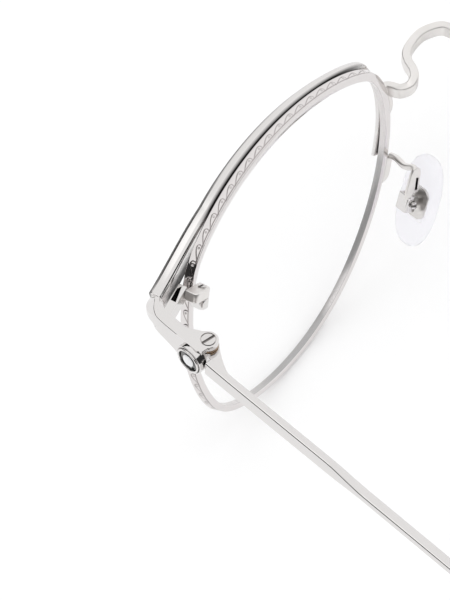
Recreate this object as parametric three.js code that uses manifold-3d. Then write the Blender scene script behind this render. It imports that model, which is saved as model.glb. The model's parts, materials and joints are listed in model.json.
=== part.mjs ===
// Full-rim metal spectacles, temples open, standing on the rims and the temple tips.
// Millimetres, +Z up. The front faces -Y, the temples run towards +Y, +X is the wearer's left.
// Every piece is built for the left side, and the right side is its mirror image.

import * as THREE from 'three';
import { mergeVertices } from 'three/addons/utils/BufferGeometryUtils.js';
import Module from 'manifold-3d';

const { degToRad } = THREE.MathUtils;

// Lens, by the boxing system
const LENS_WIDTH = 52;
const LENS_HEIGHT = 44;
const BRIDGE_WIDTH = 20;
const LENS_THICKNESS = 1.8;
const LENS_CLEARANCE = 0.25;
const LENS_BEVEL_HALF_WIDTH = 0.2;

// Lens outline: how far its rounded box leans, narrows downwards and squares its corners
const OUTLINE_LEAN = -1.43;
const OUTLINE_SIDE_BIAS = -0.4;
const OUTLINE_DROP = 0.87;
const OUTLINE_SQUARENESS = -0.74;
const OUTLINE_CORNER_LEAN = -0.19;
const OUTLINE_CORNER_SIDE = -0.18;
const OUTLINE_CORNER_DROP = -0.18;

// Front: wrap towards the temples, tilt of the lens tops forwards, curve of the lens surface
const FRONT_WRAP = 10;
const FRONT_TILT = 10;
const FRONT_CURVE_RADIUS = 140;

// Rim section
const RIM_DEPTH = 1.5;
const RIM_WALL = 0.95;
const RIM_LIP = 0.75;
const GROOVE_WIDTH = 0.8;
const GROOVE_OVERCUT = 0.1;
const RIM_SPLIT = 0.4;
const SOLDER_GAP = 0.3;

// Closing block of the split rim, at the height of the endpiece
const LOCK_ANGLE = 23;
const LOCK_LENGTH = 1.5;
const LOCK_DEPTH = 1.5;
const LOCK_STANDOFF = 0.45;
const LOCK_SCREW_RADIUS = 0.35;
const LOCK_HEAD_RADIUS = 0.6;
const LOCK_HEAD_HEIGHT = 0.4;

// Brow bar in front of the rim
const BAR_NASAL_ANGLE = 203;
const BAR_LEAVE_ANGLE = 66;
const BAR_NASAL_DEPTH = 0.9;
const BAR_TEMPORAL_DEPTH = 1.9;
const BAR_CHAMFER = 0.3;
const BAR_END_HEIGHT = 3.2;
const BAR_OVERHANG = 2.6;
const BAR_END_FORWARD = 0.8;

// Endpiece and hinge
const ENDPIECE_HEIGHT = 5.3;
const ENDPIECE_WIDTH = 1.9;
const ENDPIECE_CHAMFER = 0.35;
const ENDPIECE_OUTSET = 1.7;
const LUG_HEIGHT = 1.9;
const ENDPIECE_CORNER_RADIUS = 1.2;
const ENDPIECE_FLARE = 6;
const HINGE_OUTSET = 3;
const HINGE_SETBACK = 13.7;
const EYE_RADIUS = 1.8;
const EYE_THICKNESS = 0.95;
const EYE_FLARE = 3.4;
const EYE_ARC = 205;
const KNUCKLE_RADIUS = 1.6;
const KNUCKLE_CLEARANCE = 0.3;
const KNUCKLE_ARC_START = 165;
const KNUCKLE_ARC_END = 415;
const HINGE_SCREW_RADIUS = 0.55;
const HINGE_HEAD_RADIUS = 1.15;
const HINGE_HEAD_HEIGHT = 0.5;
const SCREW_SLOT = 0.35;
const SCREW_CLEARANCE = 0.15;
const WASHER_THICKNESS = 0.25;
const WASHER_CLEARANCE = 0.1;

// Medallion on the outside of the endpiece
const BOSS_RADIUS = 2.45;
const BOSS_THICKNESS = 1.4;
const BOSS_SETBACK = -0.7;
const MEDALLION_RADIUS = 2.1;
const MEDALLION_CLEARANCE = 0.12;
const BEZEL_WALL = 0.32;
const BEZEL_DEPTH = 0.85;
const BOSS_RECESS = 0.6;
const ENAMEL_THICKNESS = 0.4;
const CABOCHON_RADIUS = 1.05;
const CABOCHON_HEIGHT = 0.35;

// Temple
const TEMPLE_LENGTH = 145;
const TEMPLE_ROOT_THICKNESS = 2.3;
const TEMPLE_THICKNESS = 1.6;
const TEMPLE_HEIGHT = 2.9;
const TEMPLE_SLIM_THICKNESS = 1.3;
const TEMPLE_SLIM_HEIGHT = 1.9;
const TEMPLE_CHAMFER = 0.3;
const TEMPLE_OUTSET = 1.8;
const SHOULDER_GAP = 0.35;
const SLIM_START = 26;
const SLIM_END = 33;
const EAR_BEND = 45;
const EAR_BEND_RADIUS = 20;

// Temple tip over the core wire
const TIP_COVER = 78;
const TIP_THICKNESS = 3;
const TIP_HEIGHT = 4.2;
const TIP_CHAMFER = 0.84;
const TIP_TAPER = 4.2;
const TIP_ENTRY_THICKNESS = 2.1;
const TIP_ENTRY_HEIGHT = 2.5;
const TIP_ENTRY_CHAMFER = 0.6;
const TIP_END_HEIGHT = 6;
const TIP_END_LENGTH = 12;
const TIP_NOSE_LENGTH = 2;
const TIP_NOSE_THICKNESS = 1.5;
const TIP_NOSE_HEIGHT = 3.6;
const TIP_NOSE_CHAMFER = 0.36;
const CORE_SIZE = 1.1;
const CORE_CLEARANCE = 0.3;
const CORE_STOP = 9;

// Bridge wire: each point is a share of the half gap, then how far back and up from its foot
const BRIDGE_FOOT_ANGLE = 169;
const BRIDGE_STRAP_ANGLE = 175;
const BRIDGE_STRAP_SPREAD = 8.4;
const BRIDGE_STRAP_THICKNESS = 0.7;
const BRIDGE_WIRE_WIDTH = 1.3;
const BRIDGE_WIRE_HEIGHT = 1.6;
const BRIDGE_POINTS = [
  [0.89, 2.2, 0],
  [0.79, 3.3, 1.4],
  [0.7, 3.2, 2.4],
  [0.615, 1.2, 2.2],
  [0.55, -0.7, 2.3],
  [0.41, -1.3, 2.7],
  [0.154, -1.8, 2.9],
];

// Nose pad: place and angles of its middle, from the lens's nasal edge and centre line
const PAD_OUTSET = 1;
const PAD_BACK = 5.6;
const PAD_DROP = 6.9;
const PAD_FRONTAL = 25;
const PAD_SPLAY = 15;
const PAD_LEAN = 15;
const PAD_LENGTH = 15.5;
const PAD_WIDTH = 8.2;
const PAD_ROUNDNESS = 2.4;
const PAD_BEARING_DEPTH = 1.26;
const PAD_BEARING_INSET = 1.1;
const PAD_SHOULDER_INSET = 0.3;
const PAD_OUTER_DEPTH = 0.84;
const PAD_OUTER_INSET = 0.6;
const PAD_PIVOT_OUT = 2.2;
const CORE_PLATE_LENGTH = 5;
const CORE_PLATE_WIDTH = 3.6;
const CORE_PLATE_THICKNESS = 0.45;
const LUG_THICKNESS = 1;
const LUG_RADIUS = 0.7;
const BOX_LENGTH = 2.8;
const BOX_WALL = 0.4;
const BOX_CLEARANCE = 0.25;
const PAD_SCREW_RADIUS = 0.3;
const PAD_SCREW_HEAD_RADIUS = 0.6;
const PAD_SCREW_HEAD_HEIGHT = 0.4;

// Pad arm wire: points back and up from its foot on the rim, then in the pad's own frame
const ARM_WIRE_RADIUS = 0.5;
const ARM_WIRE_SIDES = 8;
const ARM_FOOT_ANGLE = 201.5;
const ARM_STRAP_SPREAD = 5;
const ARM_STRAP_THICKNESS = 0.7;
const ARM_RIM_POINTS = [
  [0, 2, 0.9],
  [0.1, 4.4, 1.3],
  [0.1, 6.2, 3.2],
];
const ARM_PAD_POINTS = [
  [3.4, 1.7, 6],
  [4.1, 0.9, 3.6],
];

// How finely round shapes are divided
const OUTLINE_STEPS = 60;
const BAR_STEPS = 26;
const BAR_RUN_STEPS = 8;
const CORNER_STEPS = 5;
const SIDE_STEPS = 3;
const BEND_STEPS = 4;
const PAD_STEPS = 24;
const DOME_STEPS = 4;
const ROUND_STEPS = 16;
const ARC_SEGMENTS = 10;
const BRIDGE_STEPS = 36;
const ARM_STEPS = 18;

// How far a cutting tool runs past what it cuts, and how close corners are one corner
const CUT_OVERRUN = 1;
const MERGE_DISTANCE = 1e-5;

// Places worked out from the sizes above
const LENS_CENTRE_X = (LENS_WIDTH + BRIDGE_WIDTH) / 2;
const HINGE_X = LENS_CENTRE_X + LENS_WIDTH / 2 + HINGE_OUTSET;
const LENS_DEPTH = -RIM_DEPTH / 2;
const PAD_X = BRIDGE_WIDTH / 2 + PAD_OUTSET;

const wasm = await Module();
wasm.setup();

function finish(color, roughness, metalness, opacity = 1) {
  const transparent = opacity < 1;
  return new THREE.MeshStandardMaterial({ color, roughness, metalness, opacity, transparent });
}

const polishedMetal = finish(0xd9d6d4, 0.12, 1);
const engravedMetal = finish(0xbdb9b6, 0.25, 1);
const screwSteel = finish(0xc4c0bd, 0.2, 1);
const bronze = finish(0x8c7256, 0.35, 1);
const clearLens = finish(0xf4f8fa, 0.03, 0, 0.25);
const siliconeRubber = finish(0xf1f2f3, 0.3, 0, 0.5);
const darkEnamel = finish(0x1b1c20, 0.15, 0);
const paleEnamel = finish(0xf2f2f2, 0.2, 0);
const tipAcetate = finish(0x17171a, 0.2, 0);

// Merges a geometry's shared corners and turns its faces outwards where they point in
function facingOut(geometry) {
  const merged = mergeVertices(bare(geometry), MERGE_DISTANCE);
  const place = merged.attributes.position;
  const index = merged.index.array;
  const [a, b, c] = [new THREE.Vector3(), new THREE.Vector3(), new THREE.Vector3()];
  let volume = 0;
  for (let i = 0; i < index.length; i += 3) {
    a.fromBufferAttribute(place, index[i]);
    b.fromBufferAttribute(place, index[i + 1]);
    c.fromBufferAttribute(place, index[i + 2]);
    volume += a.dot(b.cross(c));
  }
  if (volume < 0) {
    for (let i = 0; i < index.length; i += 3) {
      [index[i + 1], index[i + 2]] = [index[i + 2], index[i + 1]];
    }
  }
  return merged;
}

// A copy of a geometry that holds only the places of its corners
function bare(geometry) {
  const copy = geometry.clone();
  copy.deleteAttribute('normal');
  copy.deleteAttribute('uv');
  return copy;
}

function solid(geometry) {
  const merged = facingOut(geometry);
  return new wasm.Manifold(new wasm.Mesh({
    numProp: 3,
    vertProperties: merged.attributes.position.array,
    triVerts: new Uint32Array(merged.index.array),
  }));
}

function geometryOf(manifold) {
  const mesh = manifold.getMesh();
  const geometry = new THREE.BufferGeometry();
  geometry.setAttribute('position', new THREE.BufferAttribute(mesh.vertProperties, 3));
  geometry.setIndex(new THREE.BufferAttribute(mesh.triVerts, 1));
  return geometry;
}

function joined(...geometries) {
  return geometryOf(geometries.map(solid).reduce((sum, next) => sum.add(next)));
}

function cut(geometry, ...tools) {
  return geometryOf(tools.map(solid).reduce((rest, tool) => rest.subtract(tool), solid(geometry)));
}

// The triangles that close one ring of points
function capTriangles(ring) {
  const normal = new THREE.Vector3();
  ring.forEach((p, i) => normal.add(p.clone().cross(ring[(i + 1) % ring.length])));
  normal.normalize();
  const across = ring[1].clone().sub(ring[0]).normalize();
  const along = normal.clone().cross(across);
  const flat = ring.map((p) => new THREE.Vector2(p.dot(across), p.dot(along)));
  return THREE.ShapeUtils.triangulateShape(flat, []);
}

// A closed solid through rings with equal numbers of points; an apex closes an end with a point
function loft(rings, { startApex = null, endApex = null } = {}) {
  const count = rings[0].length;
  const points = rings.flat();
  const index = [];
  for (let i = 0; i < rings.length - 1; i += 1) {
    for (let j = 0; j < count; j += 1) {
      const next = (j + 1) % count;
      const [a, b] = [i * count, (i + 1) * count];
      index.push(a + j, a + next, b + next, a + j, b + next, b + j);
    }
  }
  const close = (first, apex, reversed) => {
    const fan = apex
      ? rings[0].map((_, j) => [j, (j + 1) % count, points.push(apex) - 1 - first])
      : capTriangles(points.slice(first, first + count));
    for (const [a, b, c] of fan) {
      index.push(first + a, first + (reversed ? c : b), first + (reversed ? b : c));
    }
  };
  close(0, startApex, true);
  close((rings.length - 1) * count, endApex, false);
  const geometry = new THREE.BufferGeometry().setFromPoints(points);
  geometry.setIndex(index);
  return facingOut(geometry);
}

// A rectangle with cut corners, as pairs across and up
function chamferedRectangle(width, height, chamfer) {
  const [w, h] = [width / 2, height / 2];
  return [
    [w, -h + chamfer], [w, h - chamfer], [w - chamfer, h], [-w + chamfer, h],
    [-w, h - chamfer], [-w, -h + chamfer], [-w + chamfer, -h], [w - chamfer, -h],
  ];
}

function polygon(sides, radius) {
  return Array.from({ length: sides }, (_, i) => {
    const angle = (2 * Math.PI * i) / sides;
    return [radius * Math.cos(angle), radius * Math.sin(angle)];
  });
}

// A wire of one section along a curve, its section upright
function wire(curve, section, steps) {
  const rings = [];
  for (let i = 0; i <= steps; i += 1) {
    const centre = curve.getPointAt(i / steps);
    const tangent = curve.getTangentAt(i / steps);
    const across = new THREE.Vector3(tangent.y, -tangent.x, 0).normalize();
    const up = across.clone().cross(tangent).normalize();
    rings.push(section.map(([a, b]) => centre.clone().addScaledVector(across, a).addScaledVector(up, b)));
  }
  return loft(rings);
}

// A turned piece about the Z axis, from pairs of radius and height
function turned(profile) {
  const geometry = new THREE.LatheGeometry(profile.map(([r, z]) => new THREE.Vector2(r, z)), ROUND_STEPS);
  return facingOut(geometry.rotateX(Math.PI / 2));
}

function disc(radius, bottom, top) {
  return turned([[0, bottom], [radius, bottom], [radius, top], [0, top]]);
}

function ringPlate(inner, outer, bottom, top) {
  return turned([[inner, bottom], [outer, bottom], [outer, top], [inner, top], [inner, bottom]]);
}

function block(low, high) {
  const size = high.map((value, i) => value - low[i]);
  return new THREE.BoxGeometry(...size).translate(...low.map((value, i) => value + size[i] / 2));
}

// A slotted screw: head down to zero height, shank below it
function slottedScrew(headRadius, headHeight, shankRadius, length) {
  const body = turned([
    [0, -length], [shankRadius, -length], [shankRadius, 0], [headRadius, 0],
    [headRadius, headHeight], [0, headHeight],
  ]);
  const reach = headRadius + CUT_OVERRUN;
  const half = SCREW_SLOT / 2;
  const slot = block([-reach, -half, headHeight / 2], [reach, half, headHeight + CUT_OVERRUN]);
  return cut(body, slot);
}

// A plate of one outline, lying on zero height
function plate(outline, depth) {
  const options = { depth, bevelEnabled: false, curveSegments: ARC_SEGMENTS };
  return new THREE.ExtrudeGeometry(outline, options);
}

function roundHole(x, y, radius) {
  const hole = new THREE.Path();
  hole.absarc(x, y, radius, 0, 2 * Math.PI, true);
  return hole;
}

// Support function of the lens outline: distance of the edge that faces each angle, and its slope
function support(angle) {
  const mean = (LENS_WIDTH + LENS_HEIGHT) / 4 - OUTLINE_SQUARENESS;
  const terms = [
    [1, -OUTLINE_SIDE_BIAS - OUTLINE_CORNER_SIDE, OUTLINE_DROP - OUTLINE_CORNER_DROP],
    [2, (LENS_WIDTH - LENS_HEIGHT) / 4, OUTLINE_LEAN],
    [3, OUTLINE_SIDE_BIAS, OUTLINE_DROP],
    [4, OUTLINE_SQUARENESS, OUTLINE_CORNER_LEAN],
    [5, OUTLINE_CORNER_SIDE, OUTLINE_CORNER_DROP],
  ];
  let [distance, slope] = [mean, 0];
  for (const [order, cosine, sine] of terms) {
    distance += cosine * Math.cos(order * angle) + sine * Math.sin(order * angle);
    slope += order * (sine * Math.cos(order * angle) - cosine * Math.sin(order * angle));
  }
  return { distance, slope };
}

// A point of the front in the lens frame: x to the temple, y back, z up
function frontPoint(angle, outset, depth, scale = 1) {
  const { distance, slope } = support(angle);
  const [c, s] = [Math.cos(angle), Math.sin(angle)];
  const x = scale * ((distance + outset) * c - slope * s);
  const z = scale * ((distance + outset) * s + slope * c);
  return new THREE.Vector3(x, sag(x, z) + depth, z);
}

function sag(x, z) {
  return FRONT_CURVE_RADIUS - Math.sqrt(FRONT_CURVE_RADIUS ** 2 - x * x - z * z);
}

// The lens frame of the left side in the front's frame
const lensFrame = new THREE.Matrix4()
  .makeRotationZ(degToRad(FRONT_WRAP))
  .multiply(new THREE.Matrix4().makeRotationX(degToRad(FRONT_TILT)))
  .setPosition(LENS_CENTRE_X, 0, 0);
const toFront = (point) => point.clone().applyMatrix4(lensFrame);

// The pad frame of the left side: x out to the rim, y back, z up along the pad
const padTurn = [PAD_LEAN, -PAD_FRONTAL, -PAD_SPLAY].map(degToRad);
const padFrame = new THREE.Matrix4()
  .makeRotationFromEuler(new THREE.Euler(...padTurn, 'ZYX'))
  .setPosition(PAD_X, PAD_BACK, -PAD_DROP);

const lockAngle = degToRad(LOCK_ANGLE);
const lockPlace = toFront(frontPoint(lockAngle, RIM_WALL, 0));
const endpieceTop = lockPlace.z + ENDPIECE_HEIGHT / 2;
const hingeHeight = lockPlace.z;

function rim() {
  const halfSplit = RIM_SPLIT / 2 / frontPoint(lockAngle, 0, 0).length();
  const profile = [
    [RIM_WALL, -RIM_DEPTH], [RIM_WALL, 0], [-RIM_LIP, 0],
    [-RIM_LIP, (GROOVE_WIDTH - RIM_DEPTH) / 2], [GROOVE_OVERCUT, LENS_DEPTH],
    [-RIM_LIP, (-GROOVE_WIDTH - RIM_DEPTH) / 2], [-RIM_LIP, -RIM_DEPTH],
  ];
  const rings = [];
  for (let i = 0; i <= OUTLINE_STEPS; i += 1) {
    const turn = halfSplit + (i / OUTLINE_STEPS) * (2 * Math.PI - 2 * halfSplit);
    rings.push(profile.map(([outset, depth]) => frontPoint(lockAngle + turn, outset, depth)));
  }
  return loft(rings);
}

function lens() {
  const edge = -RIM_LIP - LENS_CLEARANCE;
  const half = LENS_THICKNESS / 2;
  const halfway = 0.5;
  const loops = [
    [halfway, 0, half], [1, edge, half], [1, edge, LENS_BEVEL_HALF_WIDTH], [1, -LENS_CLEARANCE, 0],
    [1, edge, -LENS_BEVEL_HALF_WIDTH], [1, edge, -half], [halfway, 0, -half],
  ];
  const step = (2 * Math.PI) / OUTLINE_STEPS;
  const angles = Array.from({ length: OUTLINE_STEPS }, (_, i) => lockAngle + i * step);
  const rings = loops.map(([scale, outset, depth]) =>
    angles.map((angle) => frontPoint(angle, outset, LENS_DEPTH + depth, scale)));
  return loft(rings, {
    startApex: new THREE.Vector3(0, LENS_DEPTH + half, 0),
    endApex: new THREE.Vector3(0, LENS_DEPTH - half, 0),
  });
}

// The brow bar follows the rim's top, then runs out to the endpiece; its last ring comes with it
function browBar() {
  const back = -RIM_DEPTH - SOLDER_GAP;
  const leave = degToRad(BAR_LEAVE_ANGLE);
  const ringAt = (x, z, normal, inner, outer, depth, forward = 0) => {
    const at = (outset, y) => {
      const [px, pz] = [x + outset * normal.x, z + outset * normal.y];
      return new THREE.Vector3(px, sag(px, pz) + y - forward, pz);
    };
    const front = back - depth;
    return [
      at(outer, back), at(inner, back), at(inner, front + BAR_CHAMFER),
      at(inner + BAR_CHAMFER, front), at(outer - BAR_CHAMFER, front), at(outer, front + BAR_CHAMFER),
    ];
  };
  const rings = [];
  for (let i = 0; i <= BAR_STEPS; i += 1) {
    const share = i / BAR_STEPS;
    const angle = THREE.MathUtils.lerp(degToRad(BAR_NASAL_ANGLE), leave, share);
    const { x, z } = frontPoint(angle, 0, 0);
    const depth = THREE.MathUtils.lerp(BAR_NASAL_DEPTH, BAR_TEMPORAL_DEPTH, share);
    const normal = new THREE.Vector2(Math.cos(angle), Math.sin(angle));
    rings.push(ringAt(x, z, normal, -RIM_LIP, RIM_WALL, depth));
  }
  const start = frontPoint(leave, 0, 0);
  const middle = (RIM_WALL - RIM_LIP) / 2;
  const endX = LENS_WIDTH / 2 + BAR_OVERHANG;
  const endSag = sag(endX, frontPoint(lockAngle, 0, 0).z);
  const endBack = endSag + back - BAR_END_FORWARD - BAR_TEMPORAL_DEPTH / 2;
  const tilt = degToRad(FRONT_TILT);
  const endUp = (endpieceTop - BAR_END_HEIGHT / 2 - endBack * Math.sin(tilt)) / Math.cos(tilt) - middle;
  const end = new THREE.Vector2(endX, endUp);
  const reach = Math.hypot(end.x - start.x, end.y - start.z) / 3;
  const run = new THREE.CubicBezierCurve(
    new THREE.Vector2(start.x, start.z),
    new THREE.Vector2(start.x + reach * Math.sin(leave), start.z - reach * Math.cos(leave)),
    new THREE.Vector2(end.x - reach, end.y),
    end,
  );
  for (let i = 1; i <= BAR_RUN_STEPS; i += 1) {
    const share = i / BAR_RUN_STEPS;
    const { x, y } = run.getPoint(share);
    const tangent = run.getTangent(share);
    const half = THREE.MathUtils.lerp(RIM_WALL + RIM_LIP, BAR_END_HEIGHT, share) / 2;
    const normal = new THREE.Vector2(-tangent.y, tangent.x);
    const forward = BAR_END_FORWARD * share * share;
    rings.push(ringAt(x, y, normal, middle - half, middle + half, BAR_TEMPORAL_DEPTH, forward));
  }
  return { geometry: loft(rings), endRing: rings.at(-1) };
}

// The endpiece in the front's frame, from the end of the brow bar round the corner to the hinge
function endpiece(barEnd) {
  const barMiddle = new THREE.Vector3();
  barEnd.forEach((point) => barMiddle.addScaledVector(toFront(point), 1 / barEnd.length));
  const outer = HINGE_X + ENDPIECE_OUTSET;
  const rear = HINGE_SETBACK - KNUCKLE_RADIUS - KNUCKLE_CLEARANCE;
  const first = degToRad(FRONT_WRAP);
  const last = degToRad(90 - ENDPIECE_FLARE);
  const stations = [];
  for (let i = 0; i <= CORNER_STEPS; i += 1) {
    const heading = THREE.MathUtils.lerp(first, last, i / CORNER_STEPS);
    stations.push({
      heading,
      x: barMiddle.x + SOLDER_GAP + ENDPIECE_CORNER_RADIUS * (Math.sin(heading) - Math.sin(first)),
      y: barMiddle.y + ENDPIECE_CORNER_RADIUS * (Math.cos(first) - Math.cos(heading)),
    });
  }
  const corner = stations.at(-1);
  for (let i = 1; i <= SIDE_STEPS; i += 1) {
    const x = THREE.MathUtils.lerp(corner.x, outer, i / SIDE_STEPS);
    const y = THREE.MathUtils.lerp(corner.y, rear, i / SIDE_STEPS);
    stations.push({ heading: last, x, y });
  }
  const rings = stations.map(({ heading, x, y }) => {
    const grown = Math.max(0, (y - corner.y) / (rear - corner.y));
    const height = THREE.MathUtils.lerp(BAR_END_HEIGHT, ENDPIECE_HEIGHT, grown ** 3);
    const middle = endpieceTop - height / 2;
    return chamferedRectangle(ENDPIECE_WIDTH, height, ENDPIECE_CHAMFER).map(([a, b]) =>
      new THREE.Vector3(x + a * Math.sin(heading), y - a * Math.cos(heading), middle + b));
  });
  const bottom = endpieceTop - ENDPIECE_HEIGHT;
  const eyeAt = (low, flare) => {
    const outline = new THREE.Shape();
    outline.moveTo(outer - HINGE_X + ENDPIECE_WIDTH / 2, -flare);
    outline.lineTo(outer - HINGE_X + ENDPIECE_WIDTH / 2, 0);
    outline.absarc(0, 0, EYE_RADIUS, 0, degToRad(EYE_ARC), false);
    outline.lineTo(outer - HINGE_X - ENDPIECE_WIDTH / 3, -flare);
    outline.closePath();
    return plate(outline, EYE_THICKNESS).translate(HINGE_X, HINGE_SETBACK, low);
  };
  const atBoss = (geometry) => geometry.rotateY(Math.PI / 2)
    .translate(bossFace, HINGE_SETBACK + BOSS_SETBACK, hingeHeight);
  const boss = atBoss(disc(BOSS_RADIUS, -BOSS_THICKNESS, 0));
  const recess = atBoss(disc(MEDALLION_RADIUS + MEDALLION_CLEARANCE, -BOSS_RECESS, BOSS_THICKNESS));
  const above = endpieceTop + CUT_OVERRUN;
  const bore = disc(HINGE_SCREW_RADIUS + SCREW_CLEARANCE, bottom - CUT_OVERRUN, above);
  const headFloor = endpieceTop - HINGE_HEAD_HEIGHT - WASHER_CLEARANCE;
  const counterbore = disc(HINGE_HEAD_RADIUS + SCREW_CLEARANCE, headFloor, above);
  const body = joined(
    loft(rings), boss, rimLug(outer),
    eyeAt(endpieceTop - EYE_THICKNESS, EYE_FLARE), eyeAt(bottom, EYE_RADIUS + KNUCKLE_CLEARANCE * 2),
  );
  return cut(
    body, recess,
    bore.translate(HINGE_X, HINGE_SETBACK, 0), counterbore.translate(HINGE_X, HINGE_SETBACK, 0),
  );
}

// The lug that carries the endpiece on the upper end of the rim
function rimLug(outer) {
  const { x, z } = frontPoint(lockAngle, RIM_WALL + SOLDER_GAP, 0);
  const reach = (outer - LENS_CENTRE_X) / Math.cos(degToRad(FRONT_WRAP));
  const rings = [x, (x + reach) / 2, reach].map((at) => [
    [-RIM_DEPTH, z], [0, z], [0, z + LUG_HEIGHT], [-RIM_DEPTH, z + LUG_HEIGHT],
  ].map(([depth, up]) => new THREE.Vector3(at, sag(at, z) + depth, up)));
  return loft(rings).applyMatrix4(lensFrame);
}

const bossFace = HINGE_X + KNUCKLE_RADIUS + KNUCKLE_CLEARANCE + BOSS_THICKNESS;

// The closing block behind the split: its front, and the middle of its screw
const lockFront = frontPoint(lockAngle, RIM_WALL, LOCK_STANDOFF).y;
const lockMiddle = new THREE.Vector2((RIM_WALL - RIM_LIP) / 2, lockFront + LOCK_DEPTH / 2);

// One half of the closing block, on the side of the split that the sign names
function lockBlock(sign) {
  const shape = new THREE.Shape();
  shape.moveTo(-RIM_LIP, lockFront);
  shape.lineTo(RIM_WALL, lockFront);
  shape.lineTo(RIM_WALL, lockFront + LOCK_DEPTH);
  shape.lineTo(-RIM_LIP, lockFront + LOCK_DEPTH);
  shape.closePath();
  shape.holes.push(roundHole(lockMiddle.x, lockMiddle.y, LOCK_SCREW_RADIUS + SCREW_CLEARANCE));
  const low = sign > 0 ? RIM_SPLIT / 2 : -RIM_SPLIT / 2 - LOCK_LENGTH;
  return atLock(plate(shape, LOCK_LENGTH).translate(0, 0, low));
}

function lockScrew() {
  const length = 2 * LOCK_LENGTH + RIM_SPLIT - LOCK_HEAD_HEIGHT;
  const screw = slottedScrew(LOCK_HEAD_RADIUS, LOCK_HEAD_HEIGHT, LOCK_SCREW_RADIUS, length);
  const seat = RIM_SPLIT / 2 + LOCK_LENGTH + WASHER_CLEARANCE;
  return atLock(screw.translate(lockMiddle.x, lockMiddle.y, seat));
}

// Stands a piece made along +Z on the rim's outline at the closing block
function atLock(geometry) {
  const { x, z } = frontPoint(lockAngle, 0, 0);
  return geometry.rotateY(-lockAngle).translate(x, 0, z);
}

function bezel() {
  return ringPlate(MEDALLION_RADIUS - BEZEL_WALL, MEDALLION_RADIUS, MEDALLION_CLEARANCE, BEZEL_DEPTH);
}

function enamel() {
  const radius = MEDALLION_RADIUS - BEZEL_WALL - MEDALLION_CLEARANCE;
  return disc(radius, MEDALLION_CLEARANCE, MEDALLION_CLEARANCE + ENAMEL_THICKNESS);
}

function cabochon() {
  const low = MEDALLION_CLEARANCE * 2 + ENAMEL_THICKNESS;
  const dome = Array.from({ length: DOME_STEPS }, (_, i) => {
    const angle = (Math.PI / 2) * (i / DOME_STEPS);
    return [CABOCHON_RADIUS * Math.cos(angle), low + CABOCHON_HEIGHT * Math.sin(angle)];
  });
  return turned([[0, low], ...dome, [0, low + CABOCHON_HEIGHT]]);
}

// Between the endpiece's two eyes: the knuckle with a washer over and under it
const slotHeight = ENDPIECE_HEIGHT - 2 * EYE_THICKNESS;
const knuckleHeight = slotHeight - 2 * (WASHER_THICKNESS + 2 * WASHER_CLEARANCE);

// The temple's centre line from the hinge to its tip: straight, round the ear, straight down
const rimBottom = new THREE.Box3().setFromBufferAttribute(
  rim().applyMatrix4(lensFrame).attributes.position,
).min.z;
const earBend = degToRad(EAR_BEND);
const tipDrop = hingeHeight - rimBottom - (TIP_NOSE_HEIGHT / 2) * Math.cos(earBend);
const earLength = (tipDrop - EAR_BEND_RADIUS * (1 - Math.cos(earBend))) / Math.sin(earBend);
const bendLength = EAR_BEND_RADIUS * earBend;
const straightLength = TEMPLE_LENGTH - earLength - bendLength;

function templePoint(length) {
  const [flat, bent] = [Math.min(length, straightLength), length - straightLength];
  if (bent <= 0) {
    return { place: new THREE.Vector3(TEMPLE_OUTSET, flat, 0), turn: 0 };
  }
  const turn = Math.min(bent / EAR_BEND_RADIUS, earBend);
  const past = Math.max(bent - bendLength, 0);
  const back = flat + EAR_BEND_RADIUS * Math.sin(turn) + past * Math.cos(turn);
  const down = EAR_BEND_RADIUS * (1 - Math.cos(turn)) + past * Math.sin(turn);
  return { place: new THREE.Vector3(TEMPLE_OUTSET, back, -down), turn };
}

function templeRing(length, section) {
  const { place, turn } = templePoint(length);
  const up = new THREE.Vector3(0, Math.sin(turn), Math.cos(turn));
  return section.map(([a, b]) => place.clone().add(new THREE.Vector3(a, 0, 0)).addScaledVector(up, b));
}

const tipEntry = TEMPLE_LENGTH - TIP_COVER;
const bendStations = Array.from({ length: BEND_STEPS + 1 }, (_, i) =>
  straightLength + (i / BEND_STEPS) * bendLength);

function temple() {
  const shoulder = BOSS_SETBACK + BOSS_RADIUS + SHOULDER_GAP;
  const full = chamferedRectangle(TEMPLE_THICKNESS, TEMPLE_HEIGHT, TEMPLE_CHAMFER);
  const thicker = TEMPLE_ROOT_THICKNESS - TEMPLE_THICKNESS;
  const root = chamferedRectangle(TEMPLE_ROOT_THICKNESS, TEMPLE_HEIGHT, TEMPLE_CHAMFER)
    .map(([a, b]) => [a - thicker / 2, b]);
  const slim = chamferedRectangle(TEMPLE_SLIM_THICKNESS, TEMPLE_SLIM_HEIGHT, TEMPLE_CHAMFER);
  const core = chamferedRectangle(CORE_SIZE, CORE_SIZE, CORE_SIZE / 4);
  const arm = loft([
    templeRing(shoulder, root), templeRing(SLIM_START, full), templeRing(SLIM_END, slim),
    templeRing(tipEntry - SOLDER_GAP, slim), templeRing(tipEntry - SOLDER_GAP / 2, core),
    ...bendStations.map((station) => templeRing(station, core)),
    templeRing(TEMPLE_LENGTH - CORE_STOP, core),
  ]);
  const inner = TEMPLE_OUTSET + TEMPLE_THICKNESS / 2 - TEMPLE_ROOT_THICKNESS;
  const outer = TEMPLE_OUTSET + TEMPLE_THICKNESS / 2;
  const outline = new THREE.Shape();
  outline.moveTo(outer, shoulder);
  outline.lineTo(outer, shoulder + KNUCKLE_RADIUS);
  outline.lineTo(inner, shoulder + KNUCKLE_RADIUS);
  outline.absarc(0, 0, KNUCKLE_RADIUS, degToRad(KNUCKLE_ARC_START), degToRad(KNUCKLE_ARC_END), false);
  outline.lineTo(KNUCKLE_RADIUS, shoulder);
  outline.closePath();
  outline.holes.push(roundHole(0, 0, HINGE_SCREW_RADIUS + SCREW_CLEARANCE));
  return joined(arm, plate(outline, knuckleHeight).translate(0, 0, -knuckleHeight / 2));
}

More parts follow.
